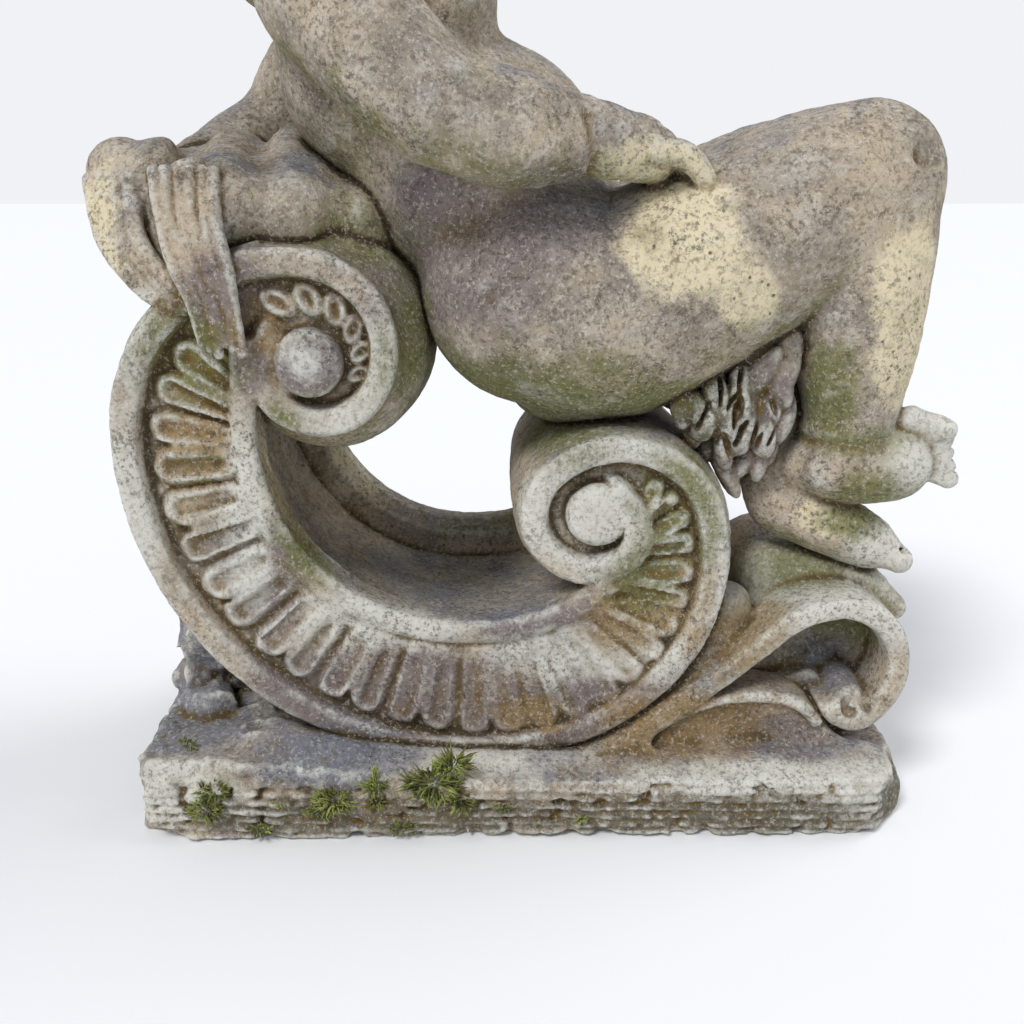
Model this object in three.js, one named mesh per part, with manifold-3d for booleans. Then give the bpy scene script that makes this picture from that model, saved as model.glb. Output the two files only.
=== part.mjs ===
// A stone putto reclining on a C-scroll, carved from one block with its plinth.
// Millimetres. +X runs along the scroll to the putto's feet, +Y goes away from the carved
// front and +Z is up. The origin is the middle of the plinth's underside.
import * as THREE from "three";
import { mergeVertices } from "three/addons/utils/BufferGeometryUtils.js";
import Module from "manifold-3d";

const wasm = await Module();
wasm.setup();

const rad = THREE.MathUtils.degToRad;
const mix = THREE.MathUtils.lerp;

// ---- driving dimensions ------------------------------------------------------------------
const PLINTH = { left: -385, right: 388, front: -200, back: 200, height: 60, bevel: 8 };
const SCROLL = {
  face: 150, // half the depth, out to the front of the fillets
  relief: 18, // how far the channel lies behind the fillets
  tongue: 9, // how far the tongues stand out of the channel
  outerFillet: 25,
  innerFillet: 22,
  lip: 46, // depth of the fillet's block before the trough starts
  trough: 24,
  backRim: 24, // how much higher the rear rim of the trough stands
  bulge: 8, // how far the outer flank swells out between the two faces
  swell: 20, // more of it on the upper volute
};
const BODY_LEAN = 39; // degrees that the trunk leans back

// ---- general helpers ---------------------------------------------------------------------

/** Turns a closed three.js geometry into a solid that can be joined and cut. */
function solid(geometry) {
  const bare = geometry.index ? geometry.clone() : geometry;
  bare.deleteAttribute("normal");
  bare.deleteAttribute("uv");
  const merged = mergeVertices(bare, 1e-3);
  return new wasm.Manifold(new wasm.Mesh({
    numProp: 3,
    vertProperties: new Float32Array(merged.attributes.position.array),
    triVerts: new Uint32Array(merged.index.array),
  }));
}

/** Joins any number of solids, or nested lists of them. */
const join = (...solids) => solids.flat(Infinity).reduce((all, next) => all.add(next));

/** Stitches rings of equal length, each a list of Vector3, into one closed solid. */
function stitch(rings, startCap, endCap) {
  const positions = rings.flat().flatMap((p) => [p.x, p.y, p.z]);
  const sides = rings[0].length;
  const index = [];
  for (let r = 0; r + 1 < rings.length; r++) {
    for (let s = 0; s < sides; s++) {
      const a = r * sides + s;
      const b = r * sides + ((s + 1) % sides);
      index.push(a, b, b + sides, a, b + sides, a + sides);
    }
  }
  const last = (rings.length - 1) * sides;
  startCap.forEach(([a, b, c]) => index.push(a, c, b));
  endCap.forEach(([a, b, c]) => index.push(last + a, last + b, last + c));
  const geometry = new THREE.BufferGeometry();
  geometry.setAttribute("position", new THREE.Float32BufferAttribute(positions, 3));
  geometry.setIndex(index);
  return solid(geometry);
}

/** A fan of triangles that closes a convex ring. */
const fan = (sides) => Array.from({ length: sides - 2 }, (_, i) => [0, i + 1, i + 2]);

/** A smooth limb with round ends through stations [x, y, z, radius]. */
function limb(stations, { sides = 12 } = {}) {
  const path = new THREE.CatmullRomCurve3(stations.map(([x, y, z]) => new THREE.Vector3(x, y, z)));
  const girth = new THREE.SplineCurve(stations.map(([, , , r], i) => new THREE.Vector2(i, r)));
  const count = stations.length - 1;
  const spine = Array.from({ length: count + 1 }, (_, i) => ({
    at: path.getPoint(i / count),
    along: path.getTangent(i / count),
    radius: girth.getPoint(i / count).y,
  }));
  const capTurns = (sides < 10 ? [52] : [72, 38]).map(rad);
  const dome = (end, sign) => capTurns.map((turn) => ({
    at: end.at.clone().addScaledVector(end.along, sign * end.radius * Math.sin(turn)),
    along: end.along,
    radius: end.radius * Math.cos(turn),
  }));
  const all = [...dome(spine[0], -1), ...spine, ...dome(spine[count], 1).reverse()];
  let across = new THREE.Vector3(0.13, 0.97, 0.21);
  const rings = all.map(({ at, along, radius }) => {
    across = across.clone().addScaledVector(along, -across.dot(along)).normalize();
    const up = along.clone().cross(across);
    return Array.from({ length: sides }, (_, s) => {
      const turn = (2 * Math.PI * s) / sides;
      return at.clone()
        .addScaledVector(across, radius * Math.cos(turn))
        .addScaledVector(up, radius * Math.sin(turn));
    });
  });
  return stitch(rings, fan(sides), fan(sides));
}

/** An ellipsoid at a place, turned by lean (about Y, backwards) and turn (about Z). */
function ball(at, size, { lean = 0, turn = 0, sides = 12 } = {}) {
  const geometry = new THREE.SphereGeometry(1, sides, Math.round(sides * 0.6));
  geometry.rotateX(Math.PI / 2);
  geometry.scale(...size);
  geometry.rotateY(rad(-lean));
  geometry.rotateZ(rad(turn));
  geometry.translate(...at);
  return solid(geometry);
}

/** A flat outline in X and Z, run through the depth from front to back. */
function slab(outline, front, back) {
  const geometry = new THREE.ExtrudeGeometry(new THREE.Shape(outline), {
    depth: back - front,
    bevelEnabled: false,
  });
  geometry.rotateX(Math.PI / 2);
  geometry.translate(0, back, 0);
  return solid(geometry);
}

/** A run of arcs, [radius, sweep in degrees], each tangent to the last; a left turn is positive. */
function arcRun(start, heading, arcs, chord = 18) {
  const points = [new THREE.Vector2(...start)];
  let course = rad(heading);
  for (const [radius, sweep] of arcs) {
    const side = Math.sign(sweep);
    const centre = points.at(-1).clone().add(
      new THREE.Vector2(-Math.sin(course), Math.cos(course)).multiplyScalar(side * radius));
    const steps = Math.max(2, Math.round(Math.abs(sweep) / chord));
    const from = course;
    for (let i = 1; i <= steps; i++) {
      course = from + rad(sweep) * (i / steps);
      points.push(centre.clone().add(
        new THREE.Vector2(Math.sin(course), -Math.cos(course)).multiplyScalar(side * radius)));
    }
  }
  return points;
}

/** The unit normals on the left of a run of points. */
function leftNormals(points) {
  return points.map((_, i) => {
    const before = points[Math.max(i - 1, 0)];
    const after = points[Math.min(i + 1, points.length - 1)];
    const run = after.clone().sub(before).normalize();
    return new THREE.Vector2(-run.y, run.x);
  });
}

/** The same run moved to its left. */
function beside(points, distance) {
  const normals = leftNormals(points);
  return points.map((p, i) => p.clone().addScaledVector(normals[i], distance));
}

/** A band of even width on the left of a run. */
const band = (points, width) => [...points, ...beside(points, width).reverse()];

// ---- the C-scroll ------------------------------------------------------------------------

const EYES = {
  upper: { at: [-192, 462], radius: 36, front: 158 },
  lower: { at: [72, 315], radius: 31, front: 148 },
};

// The outer edge runs from inside the upper volute, round it, down the C and into the lower.
const OUTER_ARCS = [[70, 152], [89, 110], [141, 33], [180, 70], [330, 104], [243, 34], [197, 56],
  [105, 122], [68, 165], [48, 160], [38, 120]];
const OUTER_EDGE = arcRun([-255, 470], -96, OUTER_ARCS);
const HOLLOW_EDGE = arcRun([-245, 413], -96, [[185, 88], [243, 19], [163, 34]]);

/** Index of the point nearest to a target. */
function nearest(points, target) {
  const gaps = points.map((p) => p.distanceTo(target));
  return gaps.indexOf(Math.min(...gaps));
}

const upperStart = nearest(OUTER_EDGE.slice(0, 12), HOLLOW_EDGE[0]);
const lowerEnd = OUTER_EDGE.length - 1
  - nearest([...OUTER_EDGE].reverse().slice(0, 24), HOLLOW_EDGE.at(-1));

/** The body of the scroll: its outline in layers, with the trough sunk in the hollow side. */
function scrollBody() {
  const floor = SCROLL.face - SCROLL.relief;
  const lip = SCROLL.face - SCROLL.lip;
  const layers = [
    { y: -floor, hollow: 0, bulge: 0 },
    { y: -lip, hollow: 0, bulge: 0.5 },
    { y: -lip + 22, hollow: 0.85 * SCROLL.trough, bulge: 0.8 },
    { y: lip - 50, hollow: SCROLL.trough, bulge: 1 },
    { y: lip, hollow: -SCROLL.backRim, bulge: 0.6 },
    { y: SCROLL.face, hollow: -SCROLL.backRim, bulge: 0 },
  ];
  const normals = leftNormals(OUTER_EDGE);
  const flank = (bulge) => OUTER_EDGE.map((p, i) => {
    const swell = SCROLL.swell * THREE.MathUtils.smoothstep(17 - i, 0, 8);
    return p.clone().addScaledVector(normals[i], -bulge * (SCROLL.bulge + swell));
  });
  const outline = ({ hollow, bulge }) => [
    ...flank(bulge).slice(upperStart, lowerEnd + 1),
    ...beside(HOLLOW_EDGE, -hollow).reverse(),
  ];
  const rings = layers.map((layer) => outline(layer).map((p) => new THREE.Vector3(p.x, layer.y, p.y)));
  const cap = THREE.ShapeUtils.triangulateShape(outline(layers[0]), []);
  return stitch(rings.reverse(), cap, cap);
}

/** The raised fillets along both edges of the carved front. */
const fillets = (front, back) => [
  slab(band(OUTER_EDGE, SCROLL.outerFillet), front, back),
  slab(band(HOLLOW_EDGE, -SCROLL.innerFillet).reverse(), front, back),
];

const TONGUES = {
  start: 515, // length along the outer edge
  pairs: 14,
  firstPitch: 100,
  lastPitch: 68,
  gap: 8, // clear of the outer fillet
  under: 8, // run in under the inner fillet
  longest: 118, // where no inner edge stops them
};

const smoothEdge = arcRun([-255, 470], -96, OUTER_ARCS, 5);
const CHANNEL_INNER_EDGES = [
  beside(HOLLOW_EDGE, -SCROLL.innerFillet),
  smoothEdge.slice(0, Math.round(smoothEdge.length * 0.15)),
  smoothEdge.slice(Math.round(smoothEdge.length * 0.7)),
];

/** How far the channel reaches in from a point of the outer edge, along the edge's normal. */
function channelDepth(point, normal) {
  let depth = Infinity;
  for (const edge of CHANNEL_INNER_EDGES) {
    for (let i = 0; i + 1 < edge.length; i++) {
      const start = edge[i].clone().sub(point);
      const run = edge[i + 1].clone().sub(edge[i]);
      const slant = run.cross(normal);
      const share = -start.cross(normal) / slant;
      const along = start.clone().addScaledVector(run, share).dot(normal);
      if (share >= 0 && share <= 1 && along > SCROLL.outerFillet + 5) {
        depth = Math.min(depth, along);
      }
    }
  }
  return depth < Infinity ? depth : TONGUES.longest;
}

const edgeCurve = new THREE.CurvePath();
for (let i = 0; i + 1 < smoothEdge.length; i++) {
  edgeCurve.add(new THREE.LineCurve(smoothEdge[i], smoothEdge[i + 1]));
}

/** A point of the channel: length along the outer edge, and share of the way in to the inner. */
function channelPoint(length, share) {
  const middle = edgeCurve.getPoint(length / edgeCurve.getLength());
  const ahead = edgeCurve.getPoint((length + 15) / edgeCurve.getLength());
  const behind = edgeCurve.getPoint((length - 15) / edgeCurve.getLength());
  const run = ahead.sub(behind).normalize();
  const normal = new THREE.Vector2(-run.y, run.x);
  const tips = SCROLL.outerFillet + TONGUES.gap;
  return middle.addScaledVector(normal, mix(tips, channelDepth(middle, normal) + TONGUES.under, share));
}

/** One tongue of the channel: a raised plate that ends in two rounded lobes. */
function tongue(start, pitch, front, back) {
  const lobe = [[0.06, 0.22], [0.17, 0.02], [0.37, 0.01], [0.5, 0.14]];
  const mirrored = lobe.slice(0, -1).reverse().map(([across, inward]) => [1 - across, inward]);
  const plate = [[0.02, 1], ...lobe, ...mirrored, [0.98, 1]];
  return slab(plate.map(([across, inward]) => channelPoint(start + pitch * across, inward)), front, back);
}

/** The row of tongues, whose pitch shortens evenly towards the lower volute. */
function tongues(front, back) {
  const { start, pairs, firstPitch, lastPitch } = TONGUES;
  const pitches = Array.from({ length: pairs }, (_, k) => mix(firstPitch, lastPitch, k / (pairs - 1)));
  return pitches.map((pitch, k) =>
    tongue(start + pitches.slice(0, k).reduce((sum, each) => sum + each, 0), pitch, front, back));
}

/** The round eye of a volute, with a softened rim, showing on the front and on the back. */
function eye({ at: [x, z], radius, front }) {
  const profile = [
    [0, -front], [radius * 0.85, -front + 3], [radius, -front + 14],
    [radius, front - 14], [radius * 0.85, front - 3], [0, front],
  ].map(([r, y]) => new THREE.Vector2(r, y));
  const geometry = new THREE.LatheGeometry(profile, 10);
  geometry.translate(x, 0, z);
  return solid(geometry);
}

function scroll() {
  const { face, relief, tongue } = SCROLL;
  const floor = face - relief;
  return join(
    scrollBody(),
    fillets(-face, -floor + 4),
    tongues(-floor - tongue, -floor + 3),
    Object.values(EYES).map(eye),
  );
}

// ---- plinth, rock and the leaf scroll ----------------------------------------------------

/** The plinth: its long profile, higher at the left, cut to its plan with canted corners. */
function plinth() {
  const { left, right, front, back, height, bevel } = PLINTH;
  const raised = height + 24;
  const profile = [
    [left, bevel + 6], [left + bevel, 0], [right - bevel, 0], [right, bevel],
    [right, height - bevel], [right - bevel, height], [-60, height], [-190, height + 14],
    [-300, raised + 4], [left + 14, raised], [left, raised - 16],
  ].map(([x, z]) => new THREE.Vector2(x, z));
  const plan = [
    [left + 22, front], [right - 42, front], [right, front + 42], [right, back - 40],
    [right - 40, back], [left + 60, back], [left, back - 60], [left, front + 50], [left + 14, front + 8],
  ].map(([x, y]) => new THREE.Vector2(x, y));
  const column = new THREE.ExtrudeGeometry(new THREE.Shape(plan), { depth: 200, bevelEnabled: false });
  column.translate(0, 0, -50);
  return slab(profile, front - 10, back + 10).intersect(solid(column));
}

/** Rough rock left standing behind the foot of the scroll. */
const rocks = () => [
  ball([-338, -38, 150], [34, 42, 50], { lean: 12, sides: 6 }),
  ball([-318, 10, 112], [58, 75, 52], { turn: 20, sides: 6 }),
  ball([-252, 70, 92], [98, 104, 46], { sides: 5 }),
];

const LEAF = { front: -152, back: 118, band: 19, curl: 46 };
const LEAF_START = [42, 52];
const LEAF_RISE = [[900, 10], [1400, 4], [100, -43], [72, -90], [85, -45]];
const LEAF_ROLL = [[38, -110], [24, -100]];
const LEAF_EYE = [326, 118];

/** The leaf that rises beside the scroll and curls over at its end, with smaller leaves by it. */
function leaf() {
  const foot = [new THREE.Vector2(345, 40), new THREE.Vector2(60, 40)];
  const edge = arcRun(LEAF_START, 29, [...LEAF_RISE, ...LEAF_ROLL]);
  const fill = [...arcRun(LEAF_START, 29, LEAF_RISE), ...foot].reverse();
  const under = arcRun([70, 64], 33, [[700, -8], [200, -20], [150, -15], [60, -55]]);
  const eyeGeometry = new THREE.LatheGeometry(
    [[0, -138], [13, -136], [21, -126], [22, -80], [0, -80]].map(([r, y]) => new THREE.Vector2(r, y)), 10);
  eyeGeometry.translate(LEAF_EYE[0], 0, LEAF_EYE[1]);
  const ribs = [[-112, 11], [-58, 15], [12, 15]].map(([y, radius], i) => limb([
    [110 + 14 * i, y, 78 + 12 * i, radius * 0.7], [190 + 8 * i, y, 136 + 9 * i, radius],
    [256, y + 4, 190 + 4 * i, radius + 3], [312, y + 6, 212 + 2 * i, radius + 5],
    [362 + 6 * (i % 2), y + 6, 184, radius + 3],
  ], { sides: 6 }));
  return join(
    slab(band(edge, -LEAF.band).reverse(), LEAF.front, LEAF.front + LEAF.curl + 12),
    slab(fill, LEAF.front + LEAF.curl, LEAF.back),
    slab([...under, ...foot].reverse(), -146, -90),
    solid(eyeGeometry),
    ribs,
    ball([262, 30, 214], [52, 62, 40], { lean: 40, sides: 8 }),
    limb([[262, -46, 224, 36], [334, -66, 224, 29], [392, -68, 190, 14]], { sides: 7 }),
  );
}

// ---- the putto ---------------------------------------------------------------------------

/** Trunk: ellipsoids strung along an axis that leans back, with the seat pressed on the volute. */
const trunk = () => [
  ball([26, 0, 530], [112, 146, 112], { lean: BODY_LEAN, sides: 10 }),
  ball([-40, 0, 626], [124, 140, 120], { lean: BODY_LEAN, sides: 11 }),
  ball([-126, 0, 714], [104, 128, 108], { lean: BODY_LEAN, sides: 10 }),
  ball([48, 10, 412], [62, 110, 34], { sides: 6 }),
  limb([[-162, -106, 768, 60], [-154, 0, 784, 78], [-162, 106, 768, 60]], { sides: 10 }),
  limb([[-170, 0, 800, 66], [-190, -4, 850, 62]], { sides: 8 }),
];

const nearLeg = () => [
  limb([[14, -62, 521, 112], [85, -70, 501, 106], [180, -76, 546, 97], [262, -82, 592, 86],
    [316, -84, 620, 70]], { sides: 12 }),
  limb([[318, -85, 610, 66], [317, -88, 540, 66], [318, -88, 470, 60], [321, -88, 400, 45]],
    { sides: 11 }),
  limb([[318, -86, 378, 43], [322, -86, 370, 43]], { sides: 9 }),
  limb([[290, -80, 350, 33], [328, -90, 350, 40], [362, -98, 356, 40]], { sides: 9 }),
];

const farLeg = () => [
  limb([[14, 62, 521, 112], [85, 70, 501, 106], [180, 76, 546, 97], [262, 82, 592, 86],
    [316, 84, 618, 70]], { sides: 9 }),
  limb([[320, 80, 608, 67], [314, 50, 530, 64], [300, 14, 455, 57], [280, -28, 385, 43],
    [262, -54, 330, 38]], { sides: 10 }),
  limb([[264, -64, 306, 34], [310, -76, 287, 34], [350, -78, 267, 27]], { sides: 9 }),
];

/** Five toes set along a line from the great toe to the little one. */
function toes(great, little, run) {
  return Array.from({ length: 5 }, (_, i) => {
    const from = great.map((v, axis) => mix(v, little[axis], i / 4));
    const length = i === 0 ? 18 : 14;
    const radius = i === 0 ? 15 : 12 - i * 0.5;
    return limb([[...from, radius], [...from.map((v, axis) => v + run[axis] * length), radius * 0.9]],
      { sides: 5 });
  });
}

/** Four fingers and a thumb lying forward of a palm. */
function hand(palm, run, across, side) {
  const place = (along, over, drop = 0) => palm.map((v, axis) =>
    v + run[axis] * along + across[axis] * over - (axis === 2 ? drop : 0));
  const fingers = [-1.5, -0.5, 0.5, 1.5].map((k) => limb([
    [...place(18, k * 17), 13], [...place(70 - 6 * Math.abs(k), k * 18, 14), 11]], { sides: 5 }));
  const thumb = limb([[...place(-6, side * 28), 14], [...place(26, side * 46, 10), 12]], { sides: 5 });
  return [limb([[...place(-22, 0), 28], [...place(14, 0), 32]], { sides: 8 }), fingers, thumb];
}

const nearArm = () => [
  limb([[-166, -122, 776, 61], [-122, -156, 722, 56], [-72, -170, 676, 48]], { sides: 8 }),
  limb([[-72, -170, 676, 48], [-12, -166, 658, 47], [62, -142, 652, 33]], { sides: 8 }),
  hand([96, -130, 646], [0.94, 0.3, -0.12], [-0.3, 0.95, 0], 1),
];

const farArm = () => [
  limb([[-166, 122, 776, 61], [-222, 148, 728, 56], [-262, 154, 672, 48]], { sides: 8 }),
  limb([[-262, 154, 672, 48], [-296, 114, 648, 45], [-322, 60, 634, 33]], { sides: 8 }),
  hand([-330, 32, 628], [-0.25, -0.96, -0.1], [0.96, -0.25, 0], 1),
];

const HEAD = { at: [-196, -10, 962], turn: -24, nod: -8, size: 1.16 };

/** Head, built looking along +X about its own middle, then turned and set on the neck. */
function head() {
  const both = (make) => [make(-1), make(1)];
  const features = join(
    ball([-12, 0, 14], [112, 98, 106], { sides: 8 }),
    ball([30, 0, -32], [70, 78, 82], { sides: 8 }),
    both((side) => ball([54, 40 * side, -44], [42, 38, 38], { sides: 6 })),
    ball([78, 0, -92], [24, 28, 21], { sides: 6 }),
    limb([[88, 0, 8, 8], [102, 0, -24, 15]], { sides: 5 }),
    ball([95, 0, -54], [12, 22, 7], { sides: 5 }),
    ball([93, 0, -65], [12, 18, 7], { sides: 5 }),
    both((side) => ball([83, 36 * side, -2], [13, 18, 10], { sides: 5 })),
    both((side) => limb([[74, 62 * side, 16, 8], [96, 14 * side, 20, 9]], { sides: 4 })),
    both((side) => ball([-4, 96 * side, -22], [20, 12, 30], { lean: -12, sides: 6 })),
    curls(),
  );
  const geometry = toGeometry(features);
  geometry.scale(HEAD.size, HEAD.size, HEAD.size);
  geometry.rotateY(rad(HEAD.nod));
  geometry.rotateZ(rad(HEAD.turn));
  geometry.translate(...HEAD.at);
  return solid(geometry);
}

/** Locks of hair in rings from the crown down to the brow and the nape. */
function curls() {
  const rings = [
    { height: 86, count: 1, size: 36, bare: 0 },
    { height: 52, count: 5, size: 42, bare: 0 },
    { height: 19, count: 6, size: 43, bare: 0 },
    { height: -14, count: 4, size: 38, bare: 95 },
  ];
  return rings.flatMap(({ height, count, size, bare }, ring) => Array.from({ length: count }, (_, i) => {
    const span = bare ? (360 - 2 * bare) / (count - 1) : 360 / count;
    const turn = bare + span * (bare ? i : i + 0.5 * (ring % 2));
    const up = rad(height);
    const at = [
      -12 + 106 * Math.cos(up) * Math.cos(rad(turn)),
      92 * Math.cos(up) * Math.sin(rad(turn)),
      14 + 100 * Math.sin(up),
    ];
    return ball(at, [size * 0.8, size, size * 0.9], { turn: turn + 20 * (i % 3), sides: 5 });
  }));
}

/** Cloth: over the upper volute under the far arm, its end at the front, and folds by the calf. */
function cloth() {
  const ridges = Array.from({ length: 4 }, (_, i) => limb([
    [-316 + 20 * i, -122, 620, 15], [-300 + 15 * i, -152, 556, 13],
    [-278 + 9 * i, -162, 478 - 3 * (i % 2), 7]], { sides: 5 }));
  const hems = [
    limb([[-362, -80, 622, 36], [-356, -106, 568, 30], [-296, -140, 518, 14]], { sides: 7 }),
    limb([[-318, -92, 624, 42], [-316, -124, 568, 28], [-280, -146, 522, 14]], { sides: 7 }),
  ];
  const drape = [
    [[-330, -80, 604, 50], [-352, 30, 596, 48], [-330, 150, 570, 40]],
    [[-268, -92, 596, 46], [-290, 40, 612, 58], [-276, 160, 590, 42]],
    [[-210, -84, 586, 46], [-232, 30, 610, 62], [-216, 160, 580, 46]],
    [[-160, -60, 574, 44], [-170, 40, 590, 60], [-158, 150, 560, 46]],
  ].map((stations) => limb(stations, { sides: 5 }));
  const folds = [
    [[138, -96, 440, 26], [176, -120, 378, 16]],
    [[180, -88, 466, 26], [200, -118, 410, 21], [208, -120, 348, 12]],
    [[214, -84, 474, 26], [226, -114, 420, 20], [230, -114, 346, 12]],
    [[236, -76, 482, 24], [246, -104, 412, 16]],
    [[196, -40, 470, 46], [214, -56, 366, 26]],
  ].map((stations) => limb(stations, { sides: 5 }));
  return [ridges, hems, drape, folds];
}

// ---- assembly ----------------------------------------------------------------------------

const toeRows = [
  toes([374, -98, 392], [396, -98, 338], [0.9, -0.2, -0.35]),
  toes([362, -98, 260], [352, -40, 256], [0.9, -0.1, -0.4]),
];

const block = join(
  plinth(), rocks(), scroll(), leaf(),
  trunk(), nearLeg(), farLeg(), toeRows, nearArm(), farArm(), head(), cloth(),
);

/** A solid as a three.js geometry. */
function toGeometry(body) {
  const mesh = body.getMesh();
  const geometry = new THREE.BufferGeometry();
  geometry.setAttribute("position", new THREE.BufferAttribute(mesh.vertProperties, 3));
  geometry.setIndex(new THREE.BufferAttribute(mesh.triVerts, 1));
  geometry.computeVertexNormals();
  return geometry;
}

const stone = new THREE.MeshStandardMaterial({ color: 0xb3a799, roughness: 0.9, metalness: 0 });
const statue = new THREE.Mesh(toGeometry(block), stone);
statue.name = "putto_statue";

const model = new THREE.Group();
model.add(statue);
export default model;
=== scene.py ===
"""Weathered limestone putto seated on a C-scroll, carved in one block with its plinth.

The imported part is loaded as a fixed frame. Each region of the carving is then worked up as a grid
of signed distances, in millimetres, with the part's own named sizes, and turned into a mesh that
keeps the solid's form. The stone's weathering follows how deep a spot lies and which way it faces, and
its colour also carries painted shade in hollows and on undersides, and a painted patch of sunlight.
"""

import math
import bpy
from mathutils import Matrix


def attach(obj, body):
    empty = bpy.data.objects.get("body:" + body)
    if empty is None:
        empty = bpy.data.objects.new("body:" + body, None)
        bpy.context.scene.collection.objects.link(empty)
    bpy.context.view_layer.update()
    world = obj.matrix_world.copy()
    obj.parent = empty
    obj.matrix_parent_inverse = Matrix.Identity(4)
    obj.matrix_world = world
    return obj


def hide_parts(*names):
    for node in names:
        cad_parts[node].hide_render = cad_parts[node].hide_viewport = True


bl_info = {
    "name": "Limestone Putto on a C-scroll",
    "version": (1, 0, 0),
    "blender": (4, 5, 0),
    "location": "View3D > Sidebar > Putto",
    "description": "Carves a weathered stone putto, its scroll, drapery and plinth",
    "category": "Object",
}

import bpy
import numpy as np
import openvdb

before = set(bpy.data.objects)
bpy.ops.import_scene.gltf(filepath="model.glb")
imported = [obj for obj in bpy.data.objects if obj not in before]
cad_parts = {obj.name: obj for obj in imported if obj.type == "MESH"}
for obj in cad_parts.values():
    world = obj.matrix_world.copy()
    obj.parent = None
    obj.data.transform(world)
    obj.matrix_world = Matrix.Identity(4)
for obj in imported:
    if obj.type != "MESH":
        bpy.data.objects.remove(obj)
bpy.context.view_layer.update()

NODE = "putto_statue"
MM = 0.001
FAR = 40.0  # the distance that stands for empty air, in millimetres
BLOCKS = {}  # the carved blocks by piece, kept for the weathering


# ---- sizes shared with the part, in millimetres ----

PLINTH = {"left": -385, "right": 388, "front": -200, "back": 200, "height": 60, "bevel": 8}
FACE = 150
RELIEF = 20
TONGUE = 15
OUTER_FILLET = 25
INNER_FILLET = 22
LIP = 46
TROUGH = 24
BULGE = 8
SWELL = 20
BODY_LEAN = 39
EYES = {"upper": ((-194, 461), 31, 160), "lower": ((72, 315), 31, 152)}
SPIRAL_END = 2105  # where the outer fillet runs into the lower eye, along the edge
OUTER_ARCS = [
    (70, 152), (89, 110), (141, 33), (180, 70), (330, 104), (243, 34), (197, 56),
    (105, 122), (68, 165), (48, 160), (38, 120),
]
HOLLOW_ARCS = [(185, 88), (243, 19), (163, 34)]
TONGUES = {
    "start": 515, "pairs": 14, "first": 100, "last": 68, "gap": 7, "longest": 118, "shortest": 96,
    "worn": 1310, "channel": (400, 1760),
}
UPPER_VOLUTE = (0, 470)  # stretches of the outer edge, by the length along it
LOWER_VOLUTE = (1560, 2046)
SCROLL_BACK = (357, 1960)


# ---- plane outlines ----

def arc_run(start, heading, arcs, chord=5):
    """A run of arcs, (radius, sweep in degrees), each tangent to the last; left turns are positive."""
    points = [np.array(start, float)]
    course = math.radians(heading)
    for radius, sweep in arcs:
        side = math.copysign(1, sweep)
        centre = points[-1] + side * radius * np.array([-math.sin(course), math.cos(course)])
        steps = max(2, round(abs(sweep) / chord))
        first = course
        for i in range(1, steps + 1):
            course = first + math.radians(sweep) * i / steps
            points.append(centre + side * radius * np.array([math.sin(course), -math.cos(course)]))
    return np.array(points)


def left_normals(points):
    """Unit normals on the left of a run of points."""
    run = np.gradient(points, axis=0)
    run /= np.linalg.norm(run, axis=1, keepdims=True)
    return np.stack([-run[:, 1], run[:, 0]], axis=1)


def beside(points, distance):
    """The same run moved to its left."""
    return points + distance * left_normals(points)


def band(points, width):
    """A band of even width on the left of a run."""
    return np.concatenate([points, beside(points, width)[::-1]])


def lengths_of(points):
    """Length along a run at each of its points."""
    steps = np.linalg.norm(np.diff(points, axis=0), axis=1)
    return np.concatenate([[0], np.cumsum(steps)])


def along_run(points, x, z, left_only=False):
    """Distance from a run, which side of it (1 is left) and the length along it, for a plane grid."""
    shape = np.broadcast(x, z).shape
    best = np.full(shape, 1e6, np.float32)
    side = np.zeros(shape, np.float32)
    length = np.zeros(shape, np.float32)
    travelled = lengths_of(points)
    for i in range(len(points) - 1):
        run = points[i + 1] - points[i]
        span = run @ run
        dx = x - points[i][0]
        dz = z - points[i][1]
        share = np.clip((dx * run[0] + dz * run[1]) / span, 0, 1)
        gap = np.hypot(dx - share * run[0], dz - share * run[1])
        left = run[0] * dz - run[1] * dx
        closer = gap < best
        if left_only:
            closer &= left > 0
        best = np.where(closer, gap, best)
        side = np.where(closer, np.sign(left), side)
        length = np.where(closer, travelled[i] + share * math.sqrt(span), length)
    return best, side, length


def outline_distance(points, x, z):
    """Signed distance from a closed outline, negative inside."""
    shape = np.broadcast(x, z).shape
    best = np.full(shape, 1e6, np.float32)
    inside = np.zeros(shape, bool)
    for a, b in zip(points, np.roll(points, -1, axis=0)):
        run = b - a
        dx = x - a[0]
        dz = z - a[1]
        share = np.clip((dx * run[0] + dz * run[1]) / max(run @ run, 1e-6), 0, 1)
        best = np.minimum(best, np.hypot(dx - share * run[0], dz - share * run[1]))
        if a[1] != b[1]:
            inside ^= ((a[1] > z) != (b[1] > z)) & (x < a[0] + (z - a[1]) * run[0] / run[1])
    return np.where(inside, -best, best).astype(np.float32)


# ---- blocks of stone ----

def smooth_step(value, low, high):
    """0 below low, 1 above high and an even curve between."""
    share = np.clip((value - low) / (high - low), 0, 1)
    return share * share * (3 - 2 * share)


def smooth_min(a, b, blend):
    """The lesser of two distances, rounded where they meet."""
    if blend <= 0:
        return np.minimum(a, b)
    near = np.maximum(blend - np.abs(a - b), 0) / blend
    return np.minimum(a, b) - near * near * blend / 4


def smooth_max(a, b, blend):
    """The greater of two distances, rounded where they meet."""
    return -smooth_min(-a, -b, blend)


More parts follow.
